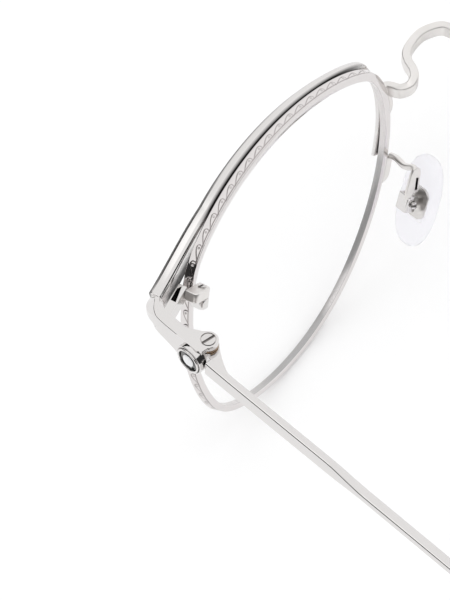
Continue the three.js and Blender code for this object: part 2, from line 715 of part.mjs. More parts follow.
function templeTip() {
  const entry = chamferedRectangle(TIP_ENTRY_THICKNESS, TIP_ENTRY_HEIGHT, TIP_ENTRY_CHAMFER);
  const body = chamferedRectangle(TIP_THICKNESS, TIP_HEIGHT, TIP_CHAMFER);
  const end = chamferedRectangle(TIP_THICKNESS, TIP_END_HEIGHT, TIP_CHAMFER);
  const nose = chamferedRectangle(TIP_NOSE_THICKNESS, TIP_NOSE_HEIGHT, TIP_NOSE_CHAMFER);
  const outside = loft([
    templeRing(tipEntry, entry), templeRing(tipEntry + TIP_TAPER, body),
    ...bendStations.map((station) => templeRing(station, body)),
    templeRing(TEMPLE_LENGTH - TIP_END_LENGTH, end),
    templeRing(TEMPLE_LENGTH - TIP_NOSE_LENGTH, end),
    templeRing(TEMPLE_LENGTH, nose),
  ]);
  const size = CORE_SIZE + 2 * CORE_CLEARANCE;
  const channel = chamferedRectangle(size, size, size / 4);
  const inside = loft([
    templeRing(tipEntry - CUT_OVERRUN, channel),
    ...bendStations.map((station) => templeRing(station, channel)),
    templeRing(TEMPLE_LENGTH - CORE_STOP + CORE_CLEARANCE, channel),
  ]);
  return cut(outside, inside);
}

function hingeScrew() {
  const length = ENDPIECE_HEIGHT - HINGE_HEAD_HEIGHT - WASHER_CLEARANCE;
  const geometry = slottedScrew(HINGE_HEAD_RADIUS, HINGE_HEAD_HEIGHT, HINGE_SCREW_RADIUS, length);
  return geometry.rotateZ(degToRad(FRONT_WRAP)).translate(0, 0, ENDPIECE_HEIGHT / 2 - HINGE_HEAD_HEIGHT);
}

function hingeWasher(sign) {
  const middle = sign * (knuckleHeight / 2 + WASHER_CLEARANCE + WASHER_THICKNESS / 2);
  return ringPlate(
    HINGE_SCREW_RADIUS + SCREW_CLEARANCE, KNUCKLE_RADIUS - KNUCKLE_CLEARANCE,
    middle - WASHER_THICKNESS / 2, middle + WASHER_THICKNESS / 2,
  );
}

// A strap along the rim's outer wall that a wire is soldered to
function rimStrap(angle, spread, thickness) {
  const inner = RIM_WALL + SOLDER_GAP;
  const section = [
    [inner, 0], [inner + thickness, -thickness / 4],
    [inner + thickness, thickness / 4 - RIM_DEPTH], [inner, -RIM_DEPTH],
  ];
  const rings = [-1, -0.5, 0, 0.5, 1].map((share) => section.map(([outset, depth]) =>
    frontPoint(degToRad(angle + share * spread), outset, depth)));
  return loft(rings).applyMatrix4(lensFrame);
}

// Where a wire starts in its strap on the rim
function wireRoot(angle, thickness) {
  const outset = RIM_WALL + SOLDER_GAP + thickness / 2;
  return toFront(frontPoint(degToRad(angle), outset, -RIM_DEPTH / 3));
}

function bridge() {
  const foot = wireRoot(BRIDGE_FOOT_ANGLE, BRIDGE_STRAP_THICKNESS);
  const half = [[1, 0, 0], ...BRIDGE_POINTS].map(([share, back, up]) =>
    new THREE.Vector3(share * foot.x, foot.y + back, foot.z + up));
  const last = BRIDGE_POINTS.at(-1);
  const middle = new THREE.Vector3(0, foot.y + last[1], foot.z + last[2]);
  const other = half.map((p) => new THREE.Vector3(-p.x, p.y, p.z)).reverse();
  const path = new THREE.CatmullRomCurve3([...half, middle, ...other]);
  const section = chamferedRectangle(BRIDGE_WIRE_WIDTH, BRIDGE_WIRE_HEIGHT, BRIDGE_WIRE_WIDTH / 4);
  const strap = rimStrap(BRIDGE_STRAP_ANGLE, BRIDGE_STRAP_SPREAD, BRIDGE_STRAP_THICKNESS);
  return joined(wire(path, section, BRIDGE_STEPS), strap, mirrored(strap));
}

// The pad's outline, a soft rectangle, at one inset from its edge
function padRing(out, inset) {
  return Array.from({ length: PAD_STEPS }, (_, i) => {
    const angle = (2 * Math.PI * i) / PAD_STEPS;
    const soft = (value) => Math.sign(value) * Math.abs(value) ** (2 / PAD_ROUNDNESS);
    const y = (PAD_WIDTH / 2 - inset) * soft(Math.cos(angle));
    const z = (PAD_LENGTH / 2 - inset) * soft(Math.sin(angle));
    return new THREE.Vector3(out, y, z);
  });
}

const coreBottom = PAD_OUTER_DEPTH - CORE_PLATE_THICKNESS;

function nosePad() {
  const body = loft([
    padRing(-PAD_BEARING_DEPTH, PAD_BEARING_INSET), padRing(-PAD_BEARING_DEPTH / 2, PAD_SHOULDER_INSET),
    padRing(0, 0), padRing(PAD_OUTER_DEPTH, PAD_OUTER_INSET),
  ]);
  const y = CORE_PLATE_WIDTH / 2 + BOX_CLEARANCE;
  const z = CORE_PLATE_LENGTH / 2 + BOX_CLEARANCE;
  const pocket = block([coreBottom - BOX_CLEARANCE, -y, -z], [PAD_OUTER_DEPTH + CUT_OVERRUN, y, z]);
  return cut(body, pocket);
}

function padCore() {
  const [y, z] = [CORE_PLATE_WIDTH / 2, CORE_PLATE_LENGTH / 2];
  const base = block([coreBottom, -y, -z], [PAD_OUTER_DEPTH, y, z]);
  const root = coreBottom + CORE_PLATE_THICKNESS / 2;
  const outline = new THREE.Shape();
  outline.moveTo(root, -LUG_RADIUS);
  outline.absarc(PAD_PIVOT_OUT, 0, LUG_RADIUS, -Math.PI / 2, Math.PI / 2, false);
  outline.lineTo(root, LUG_RADIUS);
  outline.closePath();
  outline.holes.push(roundHole(PAD_PIVOT_OUT, 0, PAD_SCREW_RADIUS + SCREW_CLEARANCE));
  const lug = plate(outline, LUG_THICKNESS).rotateX(Math.PI / 2);
  return joined(base, lug.translate(0, LUG_THICKNESS / 2, 0));
}

// The pad box, a channel round the pad's lug: half its width inside and outside, and its base
const boxInner = LUG_THICKNESS / 2 + BOX_CLEARANCE;
const boxOuter = boxInner + BOX_WALL;
const boxBase = PAD_PIVOT_OUT + LUG_RADIUS + BOX_CLEARANCE;

function padBox() {
  const mouth = PAD_PIVOT_OUT - LUG_RADIUS;
  const half = BOX_LENGTH / 2;
  const past = half + CUT_OVERRUN;
  const channel = cut(
    block([mouth, -boxOuter, -half], [boxBase + BOX_WALL, boxOuter, half]),
    block([mouth - CUT_OVERRUN, -boxInner, -past], [boxBase, boxInner, past]),
  );
  const reach = boxOuter + CUT_OVERRUN;
  const hole = disc(PAD_SCREW_RADIUS + SCREW_CLEARANCE, -reach, reach);
  return cut(channel, hole.rotateX(Math.PI / 2).translate(PAD_PIVOT_OUT, 0, 0));
}

function padScrew() {
  const length = 2 * boxOuter + WASHER_CLEARANCE;
  const screw = slottedScrew(PAD_SCREW_HEAD_RADIUS, PAD_SCREW_HEAD_HEIGHT, PAD_SCREW_RADIUS, length);
  return screw.rotateX(-Math.PI / 2).translate(PAD_PIVOT_OUT, boxOuter + WASHER_CLEARANCE, 0);
}

function padArm() {
  const foot = wireRoot(ARM_FOOT_ANGLE, ARM_STRAP_THICKNESS);
  const base = boxBase + BOX_WALL + SOLDER_GAP + ARM_WIRE_RADIUS;
  const besideBox = [[base, 0, BOX_LENGTH / 2], [base, 0, -BOX_LENGTH / 4]];
  const path = new THREE.CatmullRomCurve3([
    foot,
    ...ARM_RIM_POINTS.map((point) => foot.clone().add(new THREE.Vector3(...point))),
    ...[...ARM_PAD_POINTS, ...besideBox].map((point) => new THREE.Vector3(...point).applyMatrix4(padFrame)),
  ]);
  const strap = rimStrap(ARM_FOOT_ANGLE, ARM_STRAP_SPREAD, ARM_STRAP_THICKNESS);
  return joined(wire(path, polygon(ARM_WIRE_SIDES, ARM_WIRE_RADIUS), ARM_STEPS), strap);
}

function mirrored(geometry) {
  return facingOut(geometry.clone().scale(-1, 1, 1));
}

// A group whose frame stands on the given side of the middle
function sideFrame(side, matrix) {
  const group = new THREE.Group();
  const flip = new THREE.Matrix4().makeScale(side, 1, 1);
  group.applyMatrix4(flip.clone().multiply(matrix).multiply(flip));
  return group;
}

function add(parent, side, name, geometry, material) {
  const mesh = new THREE.Mesh(side < 0 ? mirrored(geometry) : facingOut(geometry), material);
  mesh.name = name;
  parent.add(mesh);
}

function oneSide(side) {
  const group = new THREE.Group();
  const named = (name) => `${side > 0 ? 'left' : 'right'}_${name}`;
  const bar = browBar();

  const front = sideFrame(side, lensFrame);
  add(front, side, named('rim'), rim(), engravedMetal);
  add(front, side, named('lens'), lens(), clearLens);
  add(front, side, named('brow_bar'), bar.geometry, polishedMetal);
  add(front, side, named('rim_lock_upper'), lockBlock(1), polishedMetal);
  add(front, side, named('rim_lock_lower'), lockBlock(-1), polishedMetal);
  add(front, side, named('rim_lock_screw'), lockScrew(), screwSteel);

  add(group, side, named('endpiece'), endpiece(bar.endRing), polishedMetal);
  add(group, side, named('pad_arm'), padArm(), polishedMetal);

  const medallion = sideFrame(side, new THREE.Matrix4().makeRotationY(Math.PI / 2)
    .setPosition(bossFace - BOSS_RECESS, HINGE_SETBACK + BOSS_SETBACK, hingeHeight));
  add(medallion, 1, named('medallion_bezel'), bezel(), polishedMetal);
  add(medallion, 1, named('medallion_enamel'), enamel(), darkEnamel);
  add(medallion, 1, named('medallion_cabochon'), cabochon(), paleEnamel);

  const hinge = sideFrame(side, new THREE.Matrix4().setPosition(HINGE_X, HINGE_SETBACK, hingeHeight));
  add(hinge, side, named('temple'), temple(), polishedMetal);
  add(hinge, side, named('temple_tip'), templeTip(), tipAcetate);
  add(hinge, side, named('hinge_screw'), hingeScrew(), screwSteel);
  add(hinge, side, named('hinge_washer_upper'), hingeWasher(1), bronze);
  add(hinge, side, named('hinge_washer_lower'), hingeWasher(-1), bronze);

  const pad = sideFrame(side, padFrame);
  add(pad, side, named('nose_pad'), nosePad(), siliconeRubber);
  add(pad, side, named('pad_core'), padCore(), polishedMetal);
  add(pad, side, named('pad_box'), padBox(), polishedMetal);
  add(pad, side, named('pad_screw'), padScrew(), screwSteel);

  group.add(front, medallion, hinge, pad);
  return group;
}

// The whole pair, with its origin on the table under the middle of its box
const spectacles = new THREE.Group();
spectacles.add(oneSide(1), oneSide(-1));
add(spectacles, 1, 'bridge', bridge(), polishedMetal);
const box = new THREE.Box3().setFromObject(spectacles, true);
spectacles.position.set(0, -(box.min.y + box.max.y) / 2, -box.min.z);

export default spectacles;
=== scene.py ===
# Full-rim metal spectacles: engraved rims, polished brow bars, wire bridge, rocking pads, folding temples.
# Lengths are in millimetres here and become metres where a mesh is made.
# Each left piece is modelled, and its right twin is a mirrored copy.

import json
from collections import namedtuple
from contextlib import contextmanager
from math import atan2, cos, hypot, pi, radians, sin, tan

import bpy
import numpy as np
from mathutils import Matrix, Vector


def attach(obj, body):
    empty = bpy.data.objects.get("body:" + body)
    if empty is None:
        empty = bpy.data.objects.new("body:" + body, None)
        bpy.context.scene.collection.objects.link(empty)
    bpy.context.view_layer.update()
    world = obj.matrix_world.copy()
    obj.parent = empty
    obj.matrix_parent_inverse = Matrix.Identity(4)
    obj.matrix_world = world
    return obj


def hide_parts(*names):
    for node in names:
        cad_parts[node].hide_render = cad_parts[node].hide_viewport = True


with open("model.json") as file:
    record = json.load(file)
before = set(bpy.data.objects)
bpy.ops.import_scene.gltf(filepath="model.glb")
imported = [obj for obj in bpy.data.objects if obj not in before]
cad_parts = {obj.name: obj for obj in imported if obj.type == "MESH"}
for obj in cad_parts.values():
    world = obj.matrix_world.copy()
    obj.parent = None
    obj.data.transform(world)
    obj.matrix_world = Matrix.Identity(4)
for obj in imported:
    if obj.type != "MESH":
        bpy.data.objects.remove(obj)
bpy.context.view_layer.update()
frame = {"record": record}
joints = {joint["name"]: joint for joint in frame["record"]["behaviour"]["joints"]}

MM = 0.001
MERGE_DISTANCE = 0.0005
DISSOLVE_ANGLE = 0.5
SMOOTH_ANGLE = 35
CURVE_STEPS = 40
TOOL_OVERSHOOT = 1
FINE_EDGE = 0.05
SMALL_EDGE = 0.08
PLATE_EDGE = 0.1
BROAD_EDGE = 0.12
END_EDGE_ANGLE = 60
Screw = namedtuple("Screw", "head height shank")
Strap = namedtuple("Strap", "angle spread thickness")

# Lens outline, by the boxing system, and how its rounded box leans, narrows and squares
LENS_WIDTH = 52
LENS_HEIGHT = 44
BRIDGE_WIDTH = 20
OUTLINE_LEAN = -1.43
OUTLINE_SIDE_BIAS = -0.4
OUTLINE_DROP = 0.87
OUTLINE_SQUARENESS = -0.74
OUTLINE_CORNER_LEAN = -0.19
OUTLINE_CORNER_SIDE = -0.18
OUTLINE_CORNER_DROP = -0.18

# Front: wrap, tilt and curve of the lens surface
FRONT_WRAP = 10
FRONT_TILT = 10
FRONT_CURVE_RADIUS = 140

# Lens
LENS_THICKNESS = 1.4
LENS_EDGE_THICKNESS = 0.4
LENS_EDGE_BEVEL = 0.05
LENS_EDGE_GAP = 0.04
LENS_BACK_DEPTH = 0.12
LENS_SCALES = np.linspace(0.06, 0.975, 24)
LENS_STEPS = 240

# Rim section, where painted shade greys its seat and darkens its engraving; taper and lip growth are a size
# and an angle
RIM_DEPTH = 1.5
RIM_WALL = 0.95
RIM_TAPER = (0.42, 45)
RIM_LIP = 0.05
RIM_LIP_GROWTH = (0.8, 70)
RIM_EDGE = 0.13
RIM_INNER_EDGE = 0.05
RIM_INNER_DEPTH = 1.05
RIM_FRONT_OPENING = 0.6
# Share of painted shade on the rim's rows in the seam under the bar
RIM_SEAM_SHARES = (1, 0.8, 0.2)
# The lens seat's rows dull the metal; the seat also gets painted shade, a grey mixed in by angle round the
# rim
RIM_SEAT_SHARES = (0, 0.3, 0.6, 0.75, 1)
SEAT_SHADE_ANGLES = (196, 202, 234, 239, 250, 255, 280, 305)
SEAT_SHADES = (0, 1, 1, 0.3, 0.3, 1, 1, 0)
# Painted shade in the engraved cuts, by angle round the rim: fainter over the top
ENGRAVING_ANGLES = (50, 90, 270, 310)
ENGRAVING_SHADES = (1, 0.7, 0.7, 1)
SOLDER_GAP = 0.3
SOLDER_OVERLAP = 0.08
RIM_FINE_STEPS = 6000
RIM_STEPS = 2300
BAND_STEPS = 24
BAND_FADE = 12

# Engraved scroll on the rim's outer wall: a running wave whose crest curls over
SCROLL_LENGTH = 2.6
SCROLL_DEPTH = 0.06
SCROLL_LINE = 0.068
SCROLL_FOOT = 0.13
SCROLL_RISE = 0.58
SCROLL_CREST = 0.82
SCROLL_LEAN = 1.15
SCROLL_HOOK_PLACE = (0.8, 0.4)
SCROLL_HOOK_RADIUS = 0.36
SCROLL_HOOK_TURN = (-65, 110)
SCROLL_CURL_PLACE = (0.74, 0.42)
SCROLL_CURL_RADIUS = 0.13
SCROLL_CURL_SHARE = 0.8
SCROLL_RELIEF = 0.035
BORDER_PLACE = 0.75
BORDER_LINE = 0.09

# Closing block of the rim
LOCK_ANGLE = 23
LOCK_LENGTH = 1.62
LOCK_DEPTH = 2.3
LOCK_STANDOFF = 0.25
LOCK_INNER = -0.75
LOCK_OUTER = 2.9
LOCK_LOWER_OUTER = 1.1
LOCK_SEAM = 0.08
LOCK_EDGE = 0.2
LOCK_ROUNDING = 0.75
LOCK_SCREW = Screw(head=0.6, height=0.4, shank=0.35)

# Brow bar: crown and narrowing are an angle, a spread and a size; an edge is a radius and its largest
# shares of the bar's depth and width
BAR_NASAL_ANGLE = 201
BAR_LEAVE_ANGLE = 71
BAR_NASAL_DEPTH = 0.4
BAR_MIDDLE_DEPTH = 1.6
BAR_TEMPORAL_DEPTH = 1.95
BAR_DEPTH_REACHED = 0.55
BAR_CROWN = (130, 30, 0.75)
BAR_NARROWING = (165, 45, 1.0)
BAR_REACH = 0.75
BAR_INNER = -0.45
BAR_GAP = 0.03
BAR_FRONT_EDGE = (0.38, 0.4, 0.35)
BAR_TOP_EDGE = (0.65, 0.4, 0.5)
# Painted dark reflection along the bar's top edge: full up to the first angle, gone by the second, spread
# over the top edge's rows
BAR_TOP_SHADE = (80, 112)
BAR_TOP_SHARES = (0.3, 1, 1, 1, 0.7, 0.15, 0)
BAR_BACK_EDGE = (0.75, 0.5, 0.6)
BAR_INNER_EDGE = (0.3, 2, 0.25)
BAR_SEAM_END = 0.2
BAR_SEAM_WIDTH = (0.85, 2, 0.55)
BAR_SEAM_RUNOUT = 1.2
# Painted shade in the seam between bar and rim: it fades out between these angles towards the nose and
# spreads over the back edge's rows
BAR_SEAM_FADE = (108, 138)
BAR_SEAM_SHARES = (0, 0.3, 0.7, 1, 1, 1, 1)
BAR_WEB_REACHED = 0.45
BAR_WEB_DEPTH = 1.4
BAR_WEB_END = (0.88, 0.6)
BAR_WEB_MARGIN = 1.1
# Painted shade on the web under the bar, and its spread over the inner edge's rows
BAR_WEB_SHADE = 0.85
BAR_WEB_SHARES = (1, 0.6, 0)
BAR_END_SLOPE = 0.2
BAR_END_HEIGHT = 3.2
BAR_OVERHANG = 2.6
BAR_END_FORWARD = 1.1
BAR_STEPS = 150
BAR_RUN_STEPS = 50

# Endpiece and hinge
ENDPIECE_HEIGHT = 5.3
ENDPIECE_WIDTH = 1.9
ENDPIECE_CREASE = 0.2
ENDPIECE_FACET = 1.25
ENDPIECE_FACET_DROP = 1.7
ENDPIECE_FACET_FADE = (0.2, 0.6)
ENDPIECE_CAP_HEIGHT = 2.4
ENDPIECE_CAP_STEP = 0.1
ENDPIECE_UNDERCUT = 0.8
ENDPIECE_OUTSET = 1.7
ENDPIECE_FRONT_PULL = 1.9
ENDPIECE_REAR_PULL = 6
ENDPIECE_STEPS = 32
LUG_HEIGHT = 1.9
LUG_STEPS = 7
LUG_POCKET = [(25.0, -0.8), (25.65, -1.3), (27.9, -1.25), (27.95, -0.3)]
LUG_POCKET_DEPTH = 1.2
# Reach of the painted shade on the lug pocket's floor
POCKET_FLOOR_MARGIN = 0.02
POCKET_SIDE_MARGIN = 0.1
HINGE_SETBACK = 13.7
EYE_RADIUS = 1.5
EYE_THICKNESS = 0.95
EYE_FLARE = 3.9
EYE_WAIST = (-0.4, -1.75)
EYE_ARC_START = 42
EYE_ARC_END = 212
EYE_LIFT = 0.006
EYE_COVER = [(0, 0.2), (0.4, 0.95)]
KNUCKLE_RADIUS = 1.6
KNUCKLE_CLEARANCE = 0.3
KNUCKLE_ARC = (129, 415, 40)
HINGE_SCREW = Screw(head=1.02, height=0.5, shank=0.55)
HINGE_SLOT_TURN = -7
SCREW_SLOT = 0.42
SCREW_CLEARANCE = 0.15
# Painted shade inside a screw's slot: its strength and the share of the head's height it spans
SLOT_SHADE = 0.7
SLOT_SHADE_START = 0.1
SLOT_SHADE_END = 0.9
HEAD_CLEARANCE = 0.17
WASHER_RADIUS = 1.5
WASHER_THICKNESS = 0.25
WASHER_CLEARANCE = 0.1

# Medallion
BOSS_RADIUS = 2.45
BOSS_THICKNESS = 1.4
BOSS_SETBACK = -0.7
BOSS_RECESS = 0.6
BOSS_EDGE = 0.1
BOSS_STEPS = 72
MEDALLION_RADIUS = 2.1
MEDALLION_CLEARANCE = 0.12
BEZEL_WALL = 0.32
BEZEL_DEPTH = 0.85
ENAMEL_THICKNESS = 0.4
ENAMEL_EDGE = 0.06
CABOCHON_RADIUS = 1.05
CABOCHON_HEIGHT = 0.35

# Temple: each section is a thickness, a height, and its outer and upper edge from the temple's line
TEMPLE_LENGTH = 145
TEMPLE_SHOULDER = (1.3, 2.51, 0.86, 1.254)
TEMPLE_NECK = (1.2, 2.45, 0.86, 1.254)
TEMPLE_FULL = np.array((1.2, 2.35, 0.84, 1.45))
TEMPLE_SLIM = np.array((1.43, 1.15, 0.65, 0.25))
TEMPLE_ENTRY = (1.3, 1.4, 0.65, 0.7)
TEMPLE_NECK_END = 6.6
TEMPLE_FAN = np.array([(1.7, 6.4), (1.5, 5), (0.3, 2.9), (-1, 1.25)])
TEMPLE_FAN_STEPS = 16
TEMPLE_EDGE = 0.1
TEMPLE_CREASE = 0.32
TEMPLE_OUTSET = 1.8
SHOULDER_GAP = 0.2
SHOULDER_EDGE = 0.15
SHOULDER_EDGE_ANGLE = 70
SLIM_START = 26
SLIM_END = 33
SLIM_STOP = 56
SLIM_STEPS = 8
EAR_BEND = 45
EAR_BEND_RADIUS = 20
EAR_STEPS = 16

# Temple tip: each size is a thickness and a height
TIP_COVER = 78
TIP_ENTRY = np.array((2.1, 2.5))
TIP_ENTRY_SHARE = 0.9
TIP_ENTRY_EDGE = 0.15
TIP_FULL = np.array((3, 4.2))
TIP_END = np.array((3, 6))
TIP_ROUNDING = 0.46
TIP_TAPER = 4.2
TIP_TAPER_SHARES = np.linspace(0.1, 1, 10)
TIP_SWELL_SHARES = np.linspace(0.08, 1, 14)
TIP_NOSE_ANGLES = np.linspace(0.12, 0.98, 9) * pi / 2
TIP_NOSE_HEIGHT = 3.6
TIP_NOSE_LENGTH = 2.4
TIP_NOSE_SHARE = 0.3
CORE_SIZE = 1.1
CORE_CLEARANCE = 0.3
CORE_STOP = 9

# Bridge wire: each point is a share of the half gap, then how far back and up from its foot
BRIDGE_FOOT_ANGLE = 169
BRIDGE_FOOT_DROP = 0.7
BRIDGE_ROOT_ANGLE = 171
BRIDGE_ROOT_DEPTH = 0.15
BRIDGE_STRAP = Strap(angle=175, spread=8.4, thickness=0.95)
BRIDGE_SECTION = (1.4, 2.15, 0.25)
BRIDGE_STEPS = 240
BRIDGE_POINTS = [
    (0.95, 2.25, 0.2),
    (0.82, 3.0, 0.7),
    (0.68, 2.65, 1.3),
    (0.6, 1.65, 1.6),
    (0.54, 0.07, 1.9),
    (0.46, -0.95, 2.2),
    (0.29, -1.6, 2.5),
    (0, -1.95, 2.85),
]
STRAP_STEPS = 16
STRAP_THINNING = 0.75
STRAP_THINNING_POWER = 6

# Nose pad and its fittings
PAD_LENGTH = 15.5
PAD_WIDTH = 8.2
PAD_ROUNDNESS = 2.4
PAD_BEARING_DEPTH = 1.26
PAD_BEARING_INSETS = (3.4, 2.4, 1.6)
PAD_BEARING_ANGLES = np.linspace(0.15, 1, 8) * pi / 2
PAD_OUTER_DEPTH = 0.84
PAD_OUTER_INSETS = (1.6, 2.2)
PAD_OUTER_ANGLES = np.linspace(0.15, 1, 6) * pi / 2
PAD_SOFT_EDGE = 1.1
PAD_OUTER_EDGE = 0.66
PAD_STEPS = 64
PAD_PIVOT_OUT = 2.2
PAD_LEAN = 15
PAD_FRONTAL = 25
PAD_SPLAY = 15
CORE_PLATE_LENGTH = 5.2
CORE_PLATE_WIDTH = 5.4
CORE_PLATE_ROUNDING = 1.7
CORE_PLATE_THICKNESS = 0.45
POCKET_CORNER_ANGLE = 80
LUG_THICKNESS = 1
LUG_RADIUS = 0.7
BOX_LENGTH = 2.8
BOX_WALL = 0.4
BOX_CLEARANCE = 0.25
PAD_SCREW = Screw(head=0.6, height=0.4, shank=0.3)
ARM_WIRE_RADIUS = 0.55
ARM_WIRE_SIDES = 12
ARM_STEPS = 90
ARM_FOOT_ANGLE = 201.5
ARM_STRAP = Strap(angle=205.5, spread=4.5, thickness=1.9)
ARM_RIM_POINTS = [(0.13, 1.3, 0.59), (0.84, 3.76, 1.32), (1.1, 5.77, 2.83)]
ARM_PAD_POINTS = [(3.4, 0.9, 5.9)]
CHEEK_OUTLINE = [
    (2.9, 0.9), (2.8, 2), (1.75, 2.2), (2.05, 3.8), (2.4, 5.6), (2.7, 6.3),
    (3.4, 6.6), (4.1, 6.2), (4.3, 5.2), (4.2, 2.2), (4.0, 0.9),
]
CHEEK_THICKNESS = 0.5
CHEEK_SLIT = [(2.2, 2.6), (2.7, 2.6), (3.1, 4.8), (2.6, 4.8)]
CHEEK_SLIT_DEPTH = 0.35
# Reach of the painted shade on the cheek slit's floor
CHEEK_SLIT_MARGIN = 0.01

# Studio and camera, at the photograph's angle
TABLE_SIZE = 6
TABLE_GRAIN = (40, 2)
TABLE_TONES = ((0.965, 0.965, 0.967), (0.95, 0.95, 0.952))
TABLE_GLOW = 0.095
ROOM_DARK_AZIMUTH = 20
ROOM_DARK_EDGES = (-0.5, -0.25)
ROOM_DARK_TOP = (0.60, 0.66)
ROOM_DARKNESS = 0.97
ROOM_LIGHT = 1.04
LAMP_TOWARDS = (0.4, -0.5, 0.77)
LAMP_EDGES = (24, 9)
LAMP_GLOW = 0.35
WHITE = (1, 1, 1, 1)
VIEW_AZIMUTH = 135.5
VIEW_ELEVATION = 53
VIEW_DISTANCE = 450
VIEW_TARGET = (50.61, -67.25, 23.38)
VIEW_LENS = 180
VIEW_SENSOR = 36
VIEW_NEAR = 10

# Finishes: scale and detail of the cloud between two tones, then roughness, its change and own grain
Finish = namedtuple("Finish", "cloud light deep rough change grain", defaults=[None])
FINISHES = {
    "polished_metal": Finish((90, 3), (0.745, 0.728, 0.72), (0.7, 0.682, 0.672), 0.07, 0.05),
    "engraved_metal": Finish((110, 3), (0.75, 0.722, 0.716), (0.705, 0.675, 0.67), 0.06, 0.05),
    "plate_metal": Finish(
        (300, 2), (0.83, 0.81, 0.795), (0.74, 0.715, 0.69), 0.26, 0.14, (1500, 3, (0.2, 1, 1)),
    ),
    "screw_steel": Finish((400, 2), (0.72, 0.705, 0.695), (0.66, 0.64, 0.63), 0.12, 0.1, (5200, 2)),
    "bearing_bronze": Finish((900, 3), (0.5, 0.36, 0.24), (0.33, 0.23, 0.15), 0.25, 0.15),
    "clear_lens": Finish((25, 2), (0.97, 0.975, 0.98), (0.94, 0.95, 0.96), 0.02, 0.02),
    "soft_silicone": Finish((180, 3), (0.945, 0.94, 0.965), (0.925, 0.92, 0.95), 0.3, 0.1),
    "dark_enamel": Finish((700, 3), (0.02, 0.023, 0.022), (0.045, 0.05, 0.048), 0.1, 0.06),
    "pale_enamel": Finish((600, 3), (0.9, 0.905, 0.91), (0.8, 0.81, 0.83), 0.1, 0.06),
    "tip_acetate": Finish(
        (60, 4, (1, 0.4, 1)), (0.007, 0.007, 0.008), (0.018, 0.017, 0.018), 0.12, 0.08, (420, 3),
    ),
}
# Painted shade: a near-black colour, with added roughness, mixed in where a piece marks painted shade. That
# covers seams, pocket floors, slits and slots, plus a painted dark reflection on the bar's top edge
PAINTED_SHADE_COLOUR = (0.018, 0.016, 0.016)
PAINTED_SHADE_ROUGHNESS = 0.45
HAIRLINE = (2600, 2, (1, 0.06, 1))
HAIRLINE_ROUGHNESS = 0.03
HAIRLINE_BUMP = (0.0000015, 0.5)
# Painted shade in the engraved cuts: its brown, strength and added roughness
ENGRAVING_SHADE_BROWN = (0.17, 0.14, 0.135)
ENGRAVING_SHADE_STRENGTH = 0.85
ENGRAVING_SHADE_ROUGHNESS = 0.12
# Painted shade on the rim's lens seat: its grey and how strongly it is mixed in
SEAT_SHADE_GREY = (0.4, 0.395, 0.395)
SEAT_SHADE_STRENGTH = 0.9
SEAT_ROUGHNESS = 0.2
SEAT_DULLNESS = 0.62
SLOT_SHADE_BROWN = (0.1, 0.085, 0.08)
SLOT_ROUGHNESS = 0.2
LENS_ALPHA = 0.008
LENS_GLANCING_ALPHA = 0.25
LENS_GLANCING_POWER = 5
SILICONE_BUMP = (0.00002, 0.3)
SILICONE_CLEARNESS = 0.85
SILICONE_IOR = 1.08
DARK_COAT = 0.6
PALE_COAT = 0.5
TIP_BUMP = (0.000006, 0.4)
TIP_COAT = 0.3


# Frames: the lens's own, the front's, the part's, and matrices for pieces modelled about their own middle

def turn(axis, degrees):
    return np.array(Matrix.Rotation(radians(degrees), 3, axis))


def as_matrix(rotation, origin=(0, 0, 0)):
    matrix = Matrix(np.asarray(rotation).tolist()).to_4x4()
    matrix.translation = Vector(origin) * MM
    return matrix


def shift(*offset):
    return Matrix.Translation(Vector(offset) * MM)


lens_centre_x = (LENS_WIDTH + BRIDGE_WIDTH) / 2
lock_angle = radians(LOCK_ANGLE)
hinge_place = np.array(joints["left_temple_fold"]["pos_m"]) / MM
pad_pivot = np.array(joints["left_pad_rock"]["pos_m"]) / MM
lens_turn = turn("Z", FRONT_WRAP) @ turn("X", FRONT_TILT)
pad_turn = turn("Z", -PAD_SPLAY) @ turn("Y", -PAD_FRONTAL) @ turn("X", PAD_LEAN)


def support(angle):
    """Distance of the lens edge that faces each angle, and how fast it changes."""
    distance = (LENS_WIDTH + LENS_HEIGHT) / 4 - OUTLINE_SQUARENESS + 0 * angle
    slope = 0 * angle
    terms = [
        (1, -OUTLINE_SIDE_BIAS - OUTLINE_CORNER_SIDE, OUTLINE_DROP - OUTLINE_CORNER_DROP),
        (2, (LENS_WIDTH - LENS_HEIGHT) / 4, OUTLINE_LEAN),
        (3, OUTLINE_SIDE_BIAS, OUTLINE_DROP),
        (4, OUTLINE_SQUARENESS, OUTLINE_CORNER_LEAN),
        (5, OUTLINE_CORNER_SIDE, OUTLINE_CORNER_DROP),
    ]
    for order, cosine, sine in terms:
        distance = distance + cosine * np.cos(order * angle) + sine * np.sin(order * angle)
        slope = slope + order * (sine * np.cos(order * angle) - cosine * np.sin(order * angle))
    return distance, slope


def sag(x, z):
    return FRONT_CURVE_RADIUS - np.sqrt(FRONT_CURVE_RADIUS**2 - x * x - z * z)


def front_point(angle, outset, depth, scale=1.0):
    """Points of the front in the lens's own frame: x to the temple, y back, z up."""
    distance, slope = support(angle)
    x = scale * ((distance + outset) * np.cos(angle) - slope * np.sin(angle))
    z = scale * ((distance + outset) * np.sin(angle) + slope * np.cos(angle))
    return np.stack(np.broadcast_arrays(x, sag(x, z) + depth, z), axis=-1)


def lens_to_front(points):
    return np.asarray(points) @ lens_turn.T + [lens_centre_x, 0, 0]


lock_place = lens_to_front(front_point(lock_angle, RIM_WALL, 0))
endpiece_top = lock_place[2] + ENDPIECE_HEIGHT / 2
hinge_x = hinge_place[0]
to_table = hinge_place - [hinge_x, HINGE_SETBACK, lock_place[2]]


def placed(points):
    """Points of the front's frame in the part's frame."""
    return np.asarray(points) + to_table


def lens_placed(points):
    return placed(lens_to_front(points))


